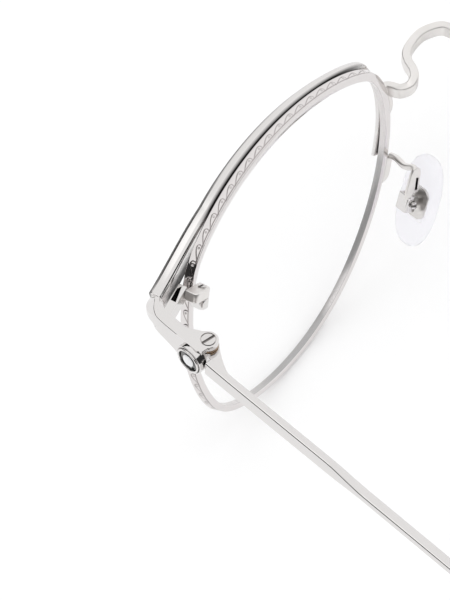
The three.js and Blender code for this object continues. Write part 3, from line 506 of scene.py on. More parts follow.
def pad_placed(points):
    return np.asarray(points) @ pad_turn.T + pad_pivot - pad_turn @ [PAD_PIVOT_OUT, 0, 0]


boss_face = KNUCKLE_RADIUS + KNUCKLE_CLEARANCE + BOSS_THICKNESS
boss_middle = hinge_place + [boss_face, BOSS_SETBACK, 0]
boss_matrix = as_matrix(turn("Y", 90), boss_middle)
medallion_matrix = as_matrix(turn("Y", 90), boss_middle - [BOSS_RECESS, 0, 0])
hinge_matrix = shift(*hinge_place)
lens_matrix = as_matrix(lens_turn, lens_placed([0, 0, 0]))
lock_edge = front_point(lock_angle, 0, 0)
lock_matrix = as_matrix(lens_turn @ turn("Y", -LOCK_ANGLE), lens_placed(lock_edge * [1, 0, 1]))
pad_matrix = as_matrix(pad_turn, pad_placed([0, 0, 0]))
across_pad = as_matrix(turn("X", 90))
pivot_matrix = shift(PAD_PIVOT_OUT, 0, 0) @ across_pad


# Modelling moves

def activate(piece):
    bpy.ops.object.select_all(action="DESELECT")
    piece.select_set(True)
    bpy.context.view_layer.objects.active = piece


@contextmanager
def editing(piece):
    activate(piece)
    bpy.ops.object.mode_set(mode="EDIT")
    bpy.ops.mesh.select_all(action="SELECT")
    yield
    bpy.ops.object.mode_set(mode="OBJECT")


def new_piece(name, points, edges, faces):
    mesh = bpy.data.meshes.new(name)
    mesh.from_pydata((np.asarray(points) * MM).tolist(), edges, faces)
    piece = bpy.data.objects.new(name, mesh)
    bpy.context.collection.objects.link(piece)
    return piece


def moved(piece, matrix):
    piece.data.transform(matrix)
    return piece


def face_outwards(piece):
    with editing(piece):
        bpy.ops.mesh.remove_doubles(threshold=MERGE_DISTANCE * MM)
        bpy.ops.mesh.normals_make_consistent(inside=False)
    return piece


def modified(piece, kind, **settings):
    activate(piece)
    bpy.ops.object.modifier_add(type=kind)
    modifier = piece.modifiers[-1]
    for key, value in settings.items():
        setattr(modifier, key, value)
    bpy.ops.object.modifier_apply(modifier=modifier.name)
    return piece


def bevelled(piece, width, segments=3, angle=SMOOTH_ANGLE):
    limits = {"limit_method": "ANGLE", "angle_limit": radians(angle)}
    return modified(piece, "BEVEL", width=width * MM, segments=segments, **limits)


def combined(piece, operation, others):
    for other in others:
        modified(piece, "BOOLEAN", object=other, operation=operation, solver="EXACT")
        bpy.data.objects.remove(other, do_unlink=True)
    return piece


def put_in_order(piece):
    """Sort points and faces, which a boolean can leave in another order each run."""
    mesh = piece.data
    places = np.array([vertex.co for vertex in mesh.vertices])
    order = np.lexsort(places.T)
    rank = np.argsort(order)
    loops = [rank[list(face.vertices)] for face in mesh.polygons]
    faces = sorted(np.roll(loop, -np.argmin(loop)).tolist() for loop in loops)
    mesh.clear_geometry()
    mesh.from_pydata(places[order].tolist(), [], faces)


def united(piece, *others):
    put_in_order(combined(piece, "UNION", others))
    with editing(piece):
        bpy.ops.mesh.dissolve_limited(angle_limit=radians(DISSOLVE_ANGLE))
    return piece


def carved(piece, *tools):
    return combined(piece, "DIFFERENCE", tools)


def loft(name, rings):
    """A closed skin through rings of points, with a face over each end."""
    rings = np.asarray(rings)
    count, sides, _ = rings.shape
    near = np.arange(count - 1)[:, None] * sides + np.arange(sides)
    beside = np.arange(count - 1)[:, None] * sides + np.roll(np.arange(sides), -1)
    walls = np.stack([near, beside, beside + sides, near + sides], axis=-1).reshape(-1, 4)
    ends = [list(range(sides)), list(range((count - 1) * sides, count * sides))]
    return face_outwards(new_piece(name, rings.reshape(-1, 3), [], walls.tolist() + ends))


def turned(name, profile, matrix, steps=64):
    """A lathe-turned piece about its Z axis, from pairs of radius and height."""
    points = [(radius, 0, height) for radius, height in profile]
    edges = [(i, i + 1) for i in range(len(points) - 1)]
    piece = new_piece(name, points, edges, [])
    with editing(piece):
        bpy.ops.mesh.spin(steps=steps, angle=2 * pi, center=(0, 0, 0), axis=(0, 0, 1))
    return moved(face_outwards(piece), matrix)


def disc(name, radius, low, high, matrix):
    return turned(name, [(0, low), (radius, low), (radius, high), (0, high)], matrix)


def ring(name, inner, outer, low, high, matrix):
    return turned(name, [(inner, low), (outer, low), (outer, high), (inner, high), (inner, low)], matrix)


def block(name, low, high, matrix):
    """A box between two corners, placed by a matrix."""
    low, high = np.asarray(low), np.asarray(high)
    bpy.ops.object.select_all(action="DESELECT")
    bpy.ops.mesh.primitive_cube_add(size=1)
    piece = bpy.context.object
    piece.name = name
    size = Matrix.Diagonal((*((high - low) * MM), 1))
    return moved(piece, matrix @ shift(*(low + high) / 2) @ size)


def plate(name, outline, low, high, matrix):
    """A flat plate of one outline."""
    piece = new_piece(name, [(x, y, low) for x, y in outline], [], [list(range(len(outline)))])
    with editing(piece):
        bpy.ops.mesh.extrude_region_move(TRANSFORM_OT_translate={"value": (0, 0, (high - low) * MM)})
    return moved(face_outwards(piece), matrix)


def arc(x, y, radius, start, end, steps=24):
    angles = np.radians(np.linspace(start, end, steps + 1))
    return [(x + radius * cos(angle), y + radius * sin(angle)) for angle in angles]


def corners_rounded(corners, steps):
    """An outline from quarter arcs, each with its middle, radius and first angle."""
    return [point for x, y, radius, start in corners for point in arc(x, y, radius, start, start + 90, steps)]


def rounded_rectangle(width, height, radius, steps=4):
    """Pairs across and up, round the corners from the lower right."""
    w, h = width / 2 - radius, height / 2 - radius
    corners = [(w, -h, radius, -90), (w, h, radius, 0), (-w, h, radius, 90), (-w, -h, radius, 180)]
    return corners_rounded(corners, steps)


def eased(share):
    share = min(1, max(0, share))
    return share * share * (3 - 2 * share)


def shares(count):
    """Even steps from 0 to 1."""
    return np.linspace(0, 1, count + 1)


def bezier(controls, t):
    """Place and slope on a curve of four control points."""
    weights = [(1 - t) ** 3, 3 * t * (1 - t) ** 2, 3 * t * t * (1 - t), t**3]
    slopes = [-3 * (1 - t) ** 2, 3 * (1 - t) * (1 - 3 * t), 3 * t * (2 - 3 * t), 3 * t * t]
    return weights @ controls, slopes @ controls


def lengths_along(points):
    return np.concatenate([[0], np.cumsum(np.linalg.norm(np.diff(points, axis=0), axis=1))])


def blend(t, start, end, first, last):
    return ((end - t) * first + (t - start) * last) / (end - start)


def smooth_curve(points, steps):
    """A smooth path through points, evenly stepped, with its tangents."""
    points = np.asarray(points, float)
    padded = np.vstack([2 * points[0] - points[1], points, 2 * points[-1] - points[-2]])
    knots = np.cumsum(np.sqrt([0, *np.linalg.norm(np.diff(padded, axis=0), axis=1)]))
    fine = []
    for i in range(len(padded) - 3):
        k, p = knots[i : i + 4], padded[i : i + 4]
        for t in np.linspace(k[1], k[2], CURVE_STEPS, endpoint=False):
            sides = [blend(t, k[j], k[j + 1], p[j], p[j + 1]) for j in range(3)]
            near, far = [blend(t, k[j], k[j + 2], sides[j], sides[j + 1]) for j in range(2)]
            fine.append(blend(t, k[1], k[2], near, far))
    fine = np.array([*fine, points[-1]])
    length = lengths_along(fine)
    even = np.linspace(0, length[-1], steps + 1)
    path = np.stack([np.interp(even, length, axis) for axis in fine.T], axis=-1)
    tangents = np.gradient(path, axis=0)
    return path, tangents / np.linalg.norm(tangents, axis=1)[:, None]


def wire(name, points, section, steps):
    """A wire of one upright section along a smooth path."""
    rings = []
    for centre, tangent in zip(*smooth_curve(points, steps)):
        across = np.array([tangent[1], -tangent[0], 0])
        across /= np.linalg.norm(across)
        up = np.cross(across, tangent)
        rings.append([centre + a * across + b * up for a, b in section])
    return loft(name, rings)


def places_of(piece, matrix=Matrix()):
    """Where a piece's points are, in the frame of a matrix."""
    inverse = matrix.inverted()
    return np.array([inverse @ vertex.co for vertex in piece.data.vertices]) / MM


def set_attribute(piece, name, values):
    attribute = piece.data.attributes.new(name, "FLOAT", "POINT")
    attribute.data.foreach_set("value", np.asarray(values, np.float32).ravel())


def slotted_screw(name, size, length, matrix):
    """A screw whose head starts at zero height, with a slot along X."""
    radius, height, shank = size
    profile = [(0, -length), (shank, -length), (shank, 0), (radius, 0), (radius, height), (0, height)]
    screw = turned(name, profile, Matrix())
    half = SCREW_SLOT / 2
    low, high = (-2 * radius, -half, height / 2), (2 * radius, half, 2 * height)
    put_in_order(carved(screw, block("slot_tool", low, high, Matrix())))
    bevelled(screw, FINE_EDGE, 2)
    # Painted shade: the slot's inside is marked for a dark brown colour
    _, across, up = places_of(screw).T
    inside = (up > SLOT_SHADE_START) & (up < SLOT_SHADE_END * height)
    set_attribute(screw, "painted_shade", SLOT_SHADE * (inside & (np.abs(across) < half + FINE_EDGE / 2)))
    return moved(screw, matrix)


# Shader expressions

class Socket:
    """A shader socket that Python's operators can add Math nodes to."""

    def __init__(self, shader, socket):
        self.shader = shader
        self.socket = socket


def operator(operation, swapped):
    def method(socket, other):
        values = (other, socket) if swapped else (socket, other)
        return socket.shader.node("ShaderNodeMath", {"operation": operation}, *values)

    return method


for sign, maths in [("add", "ADD"), ("sub", "SUBTRACT"), ("mul", "MULTIPLY"), ("pow", "POWER")]:
    setattr(Socket, f"__{sign}__", operator(maths, False))
    setattr(Socket, f"__r{sign}__", operator(maths, True))


class Shader:
    """One node tree, and the one way to add a node to it."""

    def __init__(self, tree):
        self.tree = tree
        self.tree.nodes.clear()

    def node(self, kind, settings=None, *values, places=None, output=0, **named):
        made = self.tree.nodes.new(kind)
        for key, value in (settings or {}).items():
            setattr(made, key, value)
        titles = [key.replace("_", " ").title().replace("Ior", "IOR") for key in named]
        keys = [*(places or range(len(values))), *titles]
        for key, value in zip(keys, [*values, *named.values()]):
            if isinstance(value, Socket):
                self.tree.links.new(value.socket, made.inputs[key])
            else:
                made.inputs[key].default_value = value
        return Socket(self, made.outputs[output]) if made.outputs else made

    def noise(self, scale, detail, stretch=(1, 1, 1)):
        place = self.node("ShaderNodeTexCoord", output="Object")
        place = self.node("ShaderNodeMapping", None, place, scale=stretch)
        return self.node("ShaderNodeTexNoise", None, vector=place, scale=scale, detail=detail)

    def attribute(self, name):
        return self.node("ShaderNodeAttribute", {"attribute_name": name}, output="Fac")

    def mixed(self, factor, *colours):
        colours = [colour if isinstance(colour, Socket) else (*colour, 1) for colour in colours]
        return self.node("ShaderNodeMix", {"data_type": "RGBA"}, factor, *colours, places=(0, 6, 7), output=2)

    def bump(self, height, distance, strength):
        return self.node("ShaderNodeBump", None, height=height, distance=distance, strength=strength)

    def rays(self, kind):
        return self.node("ShaderNodeLightPath", output=f"Is {kind} Ray")

    def vector_maths(self, operation, *values, output=0):
        return self.node("ShaderNodeVectorMath", {"operation": operation}, *values, output=output)

    def smooth_range(self, value, *limits):
        return self.node("ShaderNodeMapRange", {"interpolation_type": "SMOOTHSTEP"}, value, *limits)

    def surface(self, **inputs):
        return self.node("ShaderNodeBsdfPrincipled", None, **inputs)


def material(name, build):
    made = bpy.data.materials.new(name)
    made.use_nodes = True
    shader = Shader(made.node_tree)
    shader.node("ShaderNodeOutputMaterial", None, build(shader))
    return made


def finished(build):
    """A finish from its row: the cloudy colour, the roughness and the grain go to its build function."""
    name = build.__name__
    row = FINISHES[name]

    def surface(shader):
        cloud = shader.noise(*row.cloud)
        grain = shader.noise(*row.grain) if row.grain else cloud
        return build(shader, shader.mixed(cloud, row.light, row.deep), row.rough + row.change * grain, grain)

    return material(name, surface)


def polished_metal(shader, colour, roughness, _):
    hairline = shader.noise(*HAIRLINE)
    painted_shade = shader.attribute("painted_shade")
    return shader.surface(
        # painted shade: the colour goes near-black where the piece marks it
        base_color=shader.mixed(painted_shade, colour, PAINTED_SHADE_COLOUR),
        metallic=1.0,
        roughness=roughness + HAIRLINE_ROUGHNESS * hairline + PAINTED_SHADE_ROUGHNESS * painted_shade,
        normal=shader.bump(hairline, *HAIRLINE_BUMP),
    )


def engraved_metal(shader, colour, roughness, _):
    names = ["engraving", "painted_shade", "lens_seat", "seat_shade"]
    cut, painted_shade, seat, shade = [shader.attribute(name) for name in names]
    # Painted shade: the engraving's cuts, the seam under the bar and the rim's lens seat are darkened in
    # colour
    colour = shader.mixed(ENGRAVING_SHADE_STRENGTH * cut, colour, ENGRAVING_SHADE_BROWN)
    colour = shader.mixed(painted_shade, colour, PAINTED_SHADE_COLOUR)
    return shader.surface(
        base_color=shader.mixed(SEAT_SHADE_STRENGTH * shade, colour, SEAT_SHADE_GREY),
        metallic=1 - SEAT_DULLNESS * seat,
        roughness=roughness + ENGRAVING_SHADE_ROUGHNESS * cut + PAINTED_SHADE_ROUGHNESS * painted_shade + SEAT_ROUGHNESS * seat,
    )


def plate_metal(shader, colour, roughness, _):
    # Painted shade: the colour goes near-black where the piece marks it
    colour = shader.mixed(shader.attribute("painted_shade"), colour, PAINTED_SHADE_COLOUR)
    return shader.surface(base_color=colour, metallic=1.0, roughness=roughness)


def screw_steel(shader, colour, roughness, _):
    painted_shade = shader.attribute("painted_shade")
    # Painted shade: dark brown inside the slot
    colour = shader.mixed(painted_shade, colour, SLOT_SHADE_BROWN)
    return shader.surface(base_color=colour, metallic=1.0, roughness=roughness + SLOT_ROUGHNESS * painted_shade)


def bearing_bronze(shader, colour, roughness, _):
    return shader.surface(base_color=colour, metallic=1.0, roughness=roughness)


def clear_lens(shader, colour, roughness, _):
    facing = shader.node("ShaderNodeLayerWeight", output="Facing")
    alpha = LENS_ALPHA + LENS_GLANCING_ALPHA * facing**LENS_GLANCING_POWER
    return shader.surface(base_color=colour, roughness=roughness, alpha=alpha)


def soft_silicone(shader, colour, roughness, grain):
    return shader.surface(
        base_color=colour,
        roughness=roughness,
        normal=shader.bump(grain, *SILICONE_BUMP),
        transmission_weight=SILICONE_CLEARNESS,
        ior=SILICONE_IOR,
    )


def dark_enamel(shader, colour, roughness, _):
    return shader.surface(base_color=colour, roughness=roughness, coat_weight=DARK_COAT)


def pale_enamel(shader, colour, roughness, _):
    return shader.surface(base_color=colour, roughness=roughness, coat_weight=PALE_COAT)


def tip_acetate(shader, colour, roughness, grain):
    normal = shader.bump(grain, *TIP_BUMP)
    return shader.surface(base_color=colour, roughness=roughness, coat_weight=TIP_COAT, normal=normal)


builds = [
    polished_metal, engraved_metal, plate_metal, screw_steel, bearing_bronze, clear_lens,
    soft_silicone, dark_enamel, pale_enamel, tip_acetate,
]
finishes = {build.__name__: finished(build) for build in builds}


# Front pieces

def scroll_stem(u):
    """Share of the band's width that the wave's stem has risen from the back edge."""
    climb = np.minimum(u / SCROLL_CREST, 1) ** SCROLL_LEAN
    return SCROLL_FOOT + SCROLL_RISE * np.sin(climb * pi / 2)


def line_cut(distance, width):
    return np.exp(-((distance / width) ** 2))


def engraving(along, across):
    """How deep the running wave is cut, from 0 to 1, and how far the band stands up beside it, -1 to 1."""
    width = RIM_DEPTH - 2 * RIM_EDGE
    u = along / SCROLL_LENGTH % 1.0
    rise = (1 - across) / 2
    step = 0.001
    slope = (scroll_stem(u + step) - scroll_stem(u)) / step * width / SCROLL_LENGTH
    from_stem = (rise - scroll_stem(u)) * width / np.sqrt(1 + slope**2)
    stem = line_cut(from_stem, SCROLL_LINE) * (u < SCROLL_CREST)

    def polar(place):
        ahead = ((u - place[0] + 0.5) % 1.0 - 0.5) * SCROLL_LENGTH
        above = (rise - place[1]) * width
        return np.hypot(ahead, above), np.degrees(np.arctan2(above, ahead))

    reach, bearing = polar(SCROLL_HOOK_PLACE)
    turned_over = (bearing > SCROLL_HOOK_TURN[0]) & (bearing < SCROLL_HOOK_TURN[1])
    hook = line_cut(reach - SCROLL_HOOK_RADIUS, SCROLL_LINE) * turned_over
    curl_reach, _ = polar(SCROLL_CURL_PLACE)
    curl = SCROLL_CURL_SHARE * line_cut(curl_reach - SCROLL_CURL_RADIUS, SCROLL_LINE * SCROLL_CURL_SHARE)
    border = line_cut((across - BORDER_PLACE) * width / 2, BORDER_LINE) + 0 * u
    inside = np.where(u < SCROLL_CREST, -from_stem, SCROLL_HOOK_RADIUS - reach)
    return np.maximum.reduce([stem, hook, curl, border]), np.tanh(inside / SCROLL_LINE / 2)


def swelling(angle, size, middle):
    """A size that grows and shrinks round the rim, fullest at its middle angle."""
    return size * (1 + np.cos(angle - radians(middle))) / 2


def rim_section():
    """Outset and depth round the rim's section; its shares of band, painted seam shade, lens seat, taper and
    lip.
    """
    seam = arc(RIM_WALL - RIM_EDGE, RIM_EDGE - RIM_DEPTH, RIM_EDGE, -90, 0, 2)
    back = arc(RIM_WALL - RIM_EDGE, -RIM_EDGE, RIM_EDGE, 0, 90, 3)
    seat = arc(RIM_INNER_EDGE - RIM_LIP, -RIM_INNER_EDGE, RIM_INNER_EDGE, 90, 180, 4)
    rows = [(*point, 0, share, 0, 0, 0) for point, share in zip(seam, RIM_SEAM_SHARES)]
    for across in np.linspace(-1, 1, BAND_STEPS + 1)[1:-1]:
        depth = across * (RIM_DEPTH / 2 - RIM_EDGE) - RIM_DEPTH / 2
        rows.append((RIM_WALL, depth, 1 - across**BAND_FADE, 0, 0, (1 + across) / 2, 0))
    rows += [(*point, 0, 0, 0, 1, 0) for point in back]
    rows += [(*point, 0, 0, share, 0, 1) for point, share in zip(seat, RIM_SEAT_SHARES)]
    rows.append((-RIM_LIP, RIM_INNER_EDGE - RIM_INNER_DEPTH, 0, 0, 1, 0, 1))
    rows.append((RIM_INNER_EDGE / 2 - RIM_LIP, -RIM_INNER_DEPTH, 0, 0, 1, 0, 1))
    rows.append((RIM_FRONT_OPENING, -RIM_DEPTH, 0, 0, 0, 0, 0))
    return np.array(rows)


def seam_share(degrees):
    """How dark the painted shade in the seam between rim and bar is; it runs out towards the nose."""
    start, end = BAR_SEAM_FADE
    return 1 - eased((degrees - start) / (end - start))


def scroll_rim():
    """The rim, split at the closing block, with the scroll cut into its outer wall."""
    half_split = LOCK_SEAM / 2 / np.linalg.norm(lock_edge)
    fine = np.linspace(lock_angle + half_split, lock_angle + 2 * pi - half_split, RIM_FINE_STEPS)
    length = lengths_along(front_point(fine, RIM_WALL, -RIM_DEPTH / 2))
    along = np.linspace(0, length[-1], RIM_STEPS + 1)
    angle = np.interp(along, length, fine)
    outset, depth, band, seam, seat, lean, lip = rim_section().T
    across = (depth + RIM_DEPTH / 2) / (RIM_DEPTH / 2 - RIM_EDGE)
    cut, relief = engraving(along[:, None], across[None, :])
    cut = cut * band
    around = angle[:, None]
    raised = outset - SCROLL_DEPTH * cut + SCROLL_RELIEF * (relief - 1) / 2 * band
    raised = raised - swelling(around, *RIM_TAPER) * lean - swelling(around, *RIM_LIP_GROWTH) * lip
    piece = loft("scroll_rim", lens_placed(front_point(around, raised, depth[None, :])))
    degrees = np.degrees(angle)
    # Painted shade by angle round the rim: in the seam under the bar, on the lens seat and in the engraving's
    # cuts
    painted_seam_shade = np.array([seam_share(at) * (at > BAR_LEAVE_ANGLE) for at in degrees])
    shaded = np.interp(degrees, SEAT_SHADE_ANGLES, SEAT_SHADES)
    engraving_shade = np.interp(degrees, ENGRAVING_ANGLES, ENGRAVING_SHADES)
    set_attribute(piece, "engraving", engraving_shade[:, None] * cut)
    set_attribute(piece, "painted_shade", painted_seam_shade[:, None] * seam[None, :])
    set_attribute(piece, "lens_seat", seat + 0 * cut)
    set_attribute(piece, "seat_shade", shaded[:, None] * np.clip(2 * seat - 1, 0, 1))
    return piece


def clear_lens_piece():
    """Rings of scale, outset and depth from the lens's back face, thinned at the edge to sit in the rim."""
    edge, bevel = -RIM_LIP - LENS_EDGE_GAP, LENS_EDGE_BEVEL
    loops = [(scale, edge, 0) for scale in LENS_SCALES]
    loops += [(1, edge - bevel, 0), (1, edge, -bevel)]
    loops += [(1, edge, bevel - LENS_EDGE_THICKNESS), (1, edge - bevel, -LENS_EDGE_THICKNESS)]
    loops += [(scale, edge, -LENS_THICKNESS) for scale in LENS_SCALES[::-1]]
    angles = np.linspace(0, 2 * pi, LENS_STEPS, endpoint=False)
    growth = swelling(angles, *RIM_LIP_GROWTH)
    rings = [
        front_point(angles, outset - growth, depth - LENS_BACK_DEPTH, scale) for scale, outset, depth in loops
    ]
    return loft("clear_lens", lens_placed(rings))


def with_dark(points, dark, parts):
    return [(*point, dark * part) for point, part in zip(points, parts)]


def bar_section(depth, inner, outer, seam, web, shade):
    """Outset and depth round the bar, and its share of painted shade: seam on the rim, web below, and a
    painted dark reflection on the top.
    """
    back = -RIM_DEPTH - BAR_GAP
    front = -RIM_DEPTH - SOLDER_GAP - depth
    across = (back - front, outer - inner)
    edges = [BAR_BACK_EDGE, BAR_FRONT_EDGE, BAR_TOP_EDGE, BAR_INNER_EDGE, BAR_SEAM_WIDTH]
    near, far, top, low, seam_width = [min(size, *np.multiply(limits, across)) for size, *limits in edges]
    seam_end = outer - BAR_SEAM_RUNOUT * seam_width
    web_start = max((seam_end + inner) / 2, inner + BAR_WEB_MARGIN * low)
    return np.array([
        *with_dark(arc(outer - near, back - near, near, 0, 90, 6), seam, BAR_SEAM_SHARES),
        (outer - seam_width, back, seam),
        (seam_end, back, 0),
        (web_start, back, BAR_WEB_SHADE * web),
        *with_dark(arc(inner + low, back - low, low, 90, 180, 2), web, BAR_WEB_SHARES),
        *with_dark(arc(inner + far, front + far, far, 180, 270, 4), 0, BAR_TOP_SHARES),
        *with_dark(arc(outer - top, front + top, top, 270, 360, 6), shade, BAR_TOP_SHARES),
    ])


def bar_path():
    """Place, normal, inner and outer edge, depth, painted shades and share of the last run at each step of
    the bar.
    """
    middle = (RIM_WALL - BAR_REACH) / 2
    crown_angle, crown_spread, crown_height = BAR_CROWN
    narrow_angle, narrow_spread, narrowing = BAR_NARROWING
    shade_full, shade_gone = BAR_TOP_SHADE
    steps = []
    for share in shares(BAR_STEPS):
        degrees = BAR_NASAL_ANGLE + share * (BAR_LEAVE_ANGLE - BAR_NASAL_ANGLE)
        angle = radians(degrees)
        x, _, z = front_point(angle, 0, 0)
        grown = eased(share / BAR_DEPTH_REACHED)
        depth = BAR_NASAL_DEPTH + grown * (BAR_MIDDLE_DEPTH - BAR_NASAL_DEPTH)
        depth += share**3 * (BAR_TEMPORAL_DEPTH - BAR_MIDDLE_DEPTH)
        outer = RIM_WALL + crown_height * eased(1 - abs(degrees - crown_angle) / crown_spread)
        inner = BAR_INNER + narrowing * eased(1 - abs(degrees - narrow_angle) / narrow_spread)
        shade = eased((shade_gone - degrees) / (shade_gone - shade_full))
        steps.append((x, z, cos(angle), sin(angle), inner, outer, depth, seam_share(degrees), 0, shade, 0))
    leave, tilt = radians(BAR_LEAVE_ANGLE), radians(FRONT_TILT)
    start_x, _, start_up = front_point(leave, 0, 0)
    end_x = LENS_WIDTH / 2 + BAR_OVERHANG
    back = -RIM_DEPTH - SOLDER_GAP - BAR_END_FORWARD - BAR_TEMPORAL_DEPTH / 2
    end_back = sag(end_x, lock_edge[2]) + back
    end_up = (endpiece_top - BAR_END_HEIGHT / 2 - end_back * sin(tilt)) / cos(tilt) - middle
    reach = hypot(end_x - start_x, end_up - start_up) / 3
    controls = np.array([
        (start_x, start_up),
        (start_x + reach * sin(leave), start_up - reach * cos(leave)),
        (end_x - reach, end_up + BAR_END_SLOPE * reach),
        (end_x, end_up),
    ])
    web_end, web_loss = BAR_WEB_END
    for t in shares(BAR_RUN_STEPS)[1:]:
        (x, z), (across, up) = bezier(controls, t)
        norm = hypot(across, up)
        web = eased(t / BAR_WEB_REACHED)
        ending = eased((t - web_end) / (1 - web_end))
        hang = BAR_WEB_DEPTH * (1 - web_loss * ending)
        inner = BAR_INNER * (1 - web) + (middle - BAR_END_HEIGHT / 2 - hang) * web
        outer = RIM_WALL * (1 - t) + (middle + BAR_END_HEIGHT / 2) * t
        seam = max(0, 1 - t / BAR_SEAM_END)
        web *= 1 - ending
        steps.append((x, z, -up / norm, across / norm, inner, outer, BAR_TEMPORAL_DEPTH, seam, web, 1, t))
    return steps


def bar_skin():
    """Rings of points along the bar in the lens's frame, and each point's share of painted shade."""
    rings, darks = [], []
    for x, z, normal_x, normal_z, inner, outer, depth, seam, web, shade, run in bar_path():
        outset, back, dark = bar_section(depth, inner, outer, seam, web, shade).T
        px = x + outset * normal_x
        pz = z + outset * normal_z
        rings.append(np.stack([px, sag(px, pz) + back - BAR_END_FORWARD * run, pz], axis=-1))
        darks.append(dark)
    return rings, darks


def brow_bar():
    rings, darks = bar_skin()
    piece = loft("polished_brow_bar", lens_placed(rings))
    # Painted shade in the seam, on the web below and as a dark reflection on the top edge, all in colour
    set_attribute(piece, "painted_shade", np.array(darks))
    return bevelled(piece, BROAD_EDGE, 3, END_EDGE_ANGLE)


lock_front = front_point(lock_angle, RIM_WALL, LOCK_STANDOFF)[1]
lock_axis = ((LOCK_INNER + LOCK_LOWER_OUTER) / 2, lock_front + LOCK_DEPTH / 2)


def closing_block(sign):
    """One half of the closing block, with its back edges well rounded; the upper half reaches further out."""
    low = LOCK_SEAM / 2 if sign > 0 else -LOCK_SEAM / 2 - LOCK_LENGTH
    outer = LOCK_OUTER if sign > 0 else LOCK_LOWER_OUTER
    back = lock_front + LOCK_DEPTH - LOCK_ROUNDING
    places = [(outer - LOCK_ROUNDING, 0), (LOCK_INNER + LOCK_ROUNDING, 90)]
    corners = corners_rounded([(x, back, LOCK_ROUNDING, start) for x, start in places], 8)
    outline = [(LOCK_INNER, lock_front), (outer, lock_front), *corners]
    piece = plate("closing_block", outline, low, low + LOCK_LENGTH, Matrix())
    radius = LOCK_SCREW.shank + SCREW_CLEARANCE
    reach = LOCK_LENGTH + TOOL_OVERSHOOT
    carved(piece, disc("bore_tool", radius, -TOOL_OVERSHOOT, reach, shift(*lock_axis, low)))
    return moved(bevelled(piece, LOCK_EDGE), lock_matrix)


def closing_screw():
    length = 2 * LOCK_LENGTH + LOCK_SEAM - LOCK_SCREW.height
    seat = LOCK_SEAM / 2 + LOCK_LENGTH - LOCK_SCREW.height / 2
    place = lock_matrix @ shift(*lock_axis, seat)
    return slotted_screw("closing_screw", LOCK_SCREW, length, place)


def crease(x, inset, drop):
    """The rounded edge between the top face, which ends at x, and a facet that falls away beyond it."""
    edge, turn_angle = ENDPIECE_CREASE, atan2(drop, inset)
    start = x - edge * tan(turn_angle / 2)
    return [(start + edge * sin(angle), edge * (cos(angle) - 1)) for angle in np.linspace(turn_angle, 0, 6)]


def endpiece_strap():
    """The strap from the bar's end round a widening curve to the hinge, growing taller on its way."""
    bar_end = bar_skin()[0][-1]
    bar_middle = lens_to_front(bar_end).mean(axis=0)
    rear = HINGE_SETBACK - KNUCKLE_RADIUS - KNUCKLE_CLEARANCE
    first = radians(FRONT_WRAP)
    start = np.array([bar_middle[0] + SOLDER_GAP, bar_middle[1]])
    end = np.array([hinge_x + ENDPIECE_OUTSET, rear])
    front_pull = start + ENDPIECE_FRONT_PULL * np.array([cos(first), sin(first)])
    controls = np.array([start, front_pull, end - [0, ENDPIECE_REAR_PULL], end])
    half, edge, cap = ENDPIECE_WIDTH / 2, ENDPIECE_CREASE, ENDPIECE_CAP_HEIGHT
    fade_start, fade_end = ENDPIECE_FACET_FADE
    rings = []
    for t in shares(ENDPIECE_STEPS):
        (x, y), (across, back) = bezier(controls, t)
        norm = hypot(across, back)
        grown = (y - start[1]) / (rear - start[1])
        height = BAR_END_HEIGHT + (ENDPIECE_HEIGHT - BAR_END_HEIGHT) * grown**3
        share = 1 - eased((t - fade_start) / (fade_end - fade_start))
        inset = edge / 2 + share * (ENDPIECE_FACET - edge / 2)
        drop = edge + share * (ENDPIECE_FACET_DROP - edge)
        under = half - share * ENDPIECE_UNDERCUT
        section = [(under, -height), (under, -cap - ENDPIECE_CAP_STEP), (half, -cap), (half, -drop)]
        section += [*crease(half - inset, inset, drop), (-half, 0), (-half, -height)]
        rings.append([(x + a * back / norm, y - a * across / norm, endpiece_top + b) for a, b in section])
    return loft("endpiece", placed(rings))


def hinge_eye(low, flare, cover):
    """One eye of the hinge; the upper one also covers the hinge's outer corner."""
    reach = ENDPIECE_OUTSET + ENDPIECE_WIDTH / 2
    outline = [(reach, -flare), *[(reach - x, y) for x, y in cover]]
    outline += arc(0, 0, EYE_RADIUS, EYE_ARC_START if cover[1:] else 0, EYE_ARC_END)
    if cover[1:]:
        outline.append(EYE_WAIST)
    outline.append((ENDPIECE_OUTSET - ENDPIECE_WIDTH / 2, -flare))
    piece = bevelled(plate("hinge_eye", outline, low, low + EYE_THICKNESS, hinge_matrix), SMALL_EDGE, 2)
    reach = ENDPIECE_HEIGHT / 2 + TOOL_OVERSHOOT
    head_floor = ENDPIECE_HEIGHT / 2 - HINGE_SCREW.height - WASHER_CLEARANCE
    return carved(
        piece,
        disc("bore_tool", HINGE_SCREW.shank + SCREW_CLEARANCE, -reach, reach, hinge_matrix),
        disc("head_tool", HINGE_SCREW.head + HEAD_CLEARANCE, head_floor, reach, hinge_matrix),
    )


def medallion_boss():
    """The round boss, turned with its recess."""
    inner = MEDALLION_RADIUS + MEDALLION_CLEARANCE
    half_edge = BOSS_EDGE / 2
    profile = [(0, -BOSS_THICKNESS), (BOSS_RADIUS - BOSS_EDGE, -BOSS_THICKNESS)]
    profile += [(BOSS_RADIUS, BOSS_EDGE - BOSS_THICKNESS)]
    profile += arc(BOSS_RADIUS - BOSS_EDGE, -BOSS_EDGE, BOSS_EDGE, 0, 90, 4)
    profile += [(inner + half_edge, 0), (inner, -half_edge), (inner, -BOSS_RECESS), (0, -BOSS_RECESS)]
    return turned("medallion_boss", profile, boss_matrix, BOSS_STEPS)


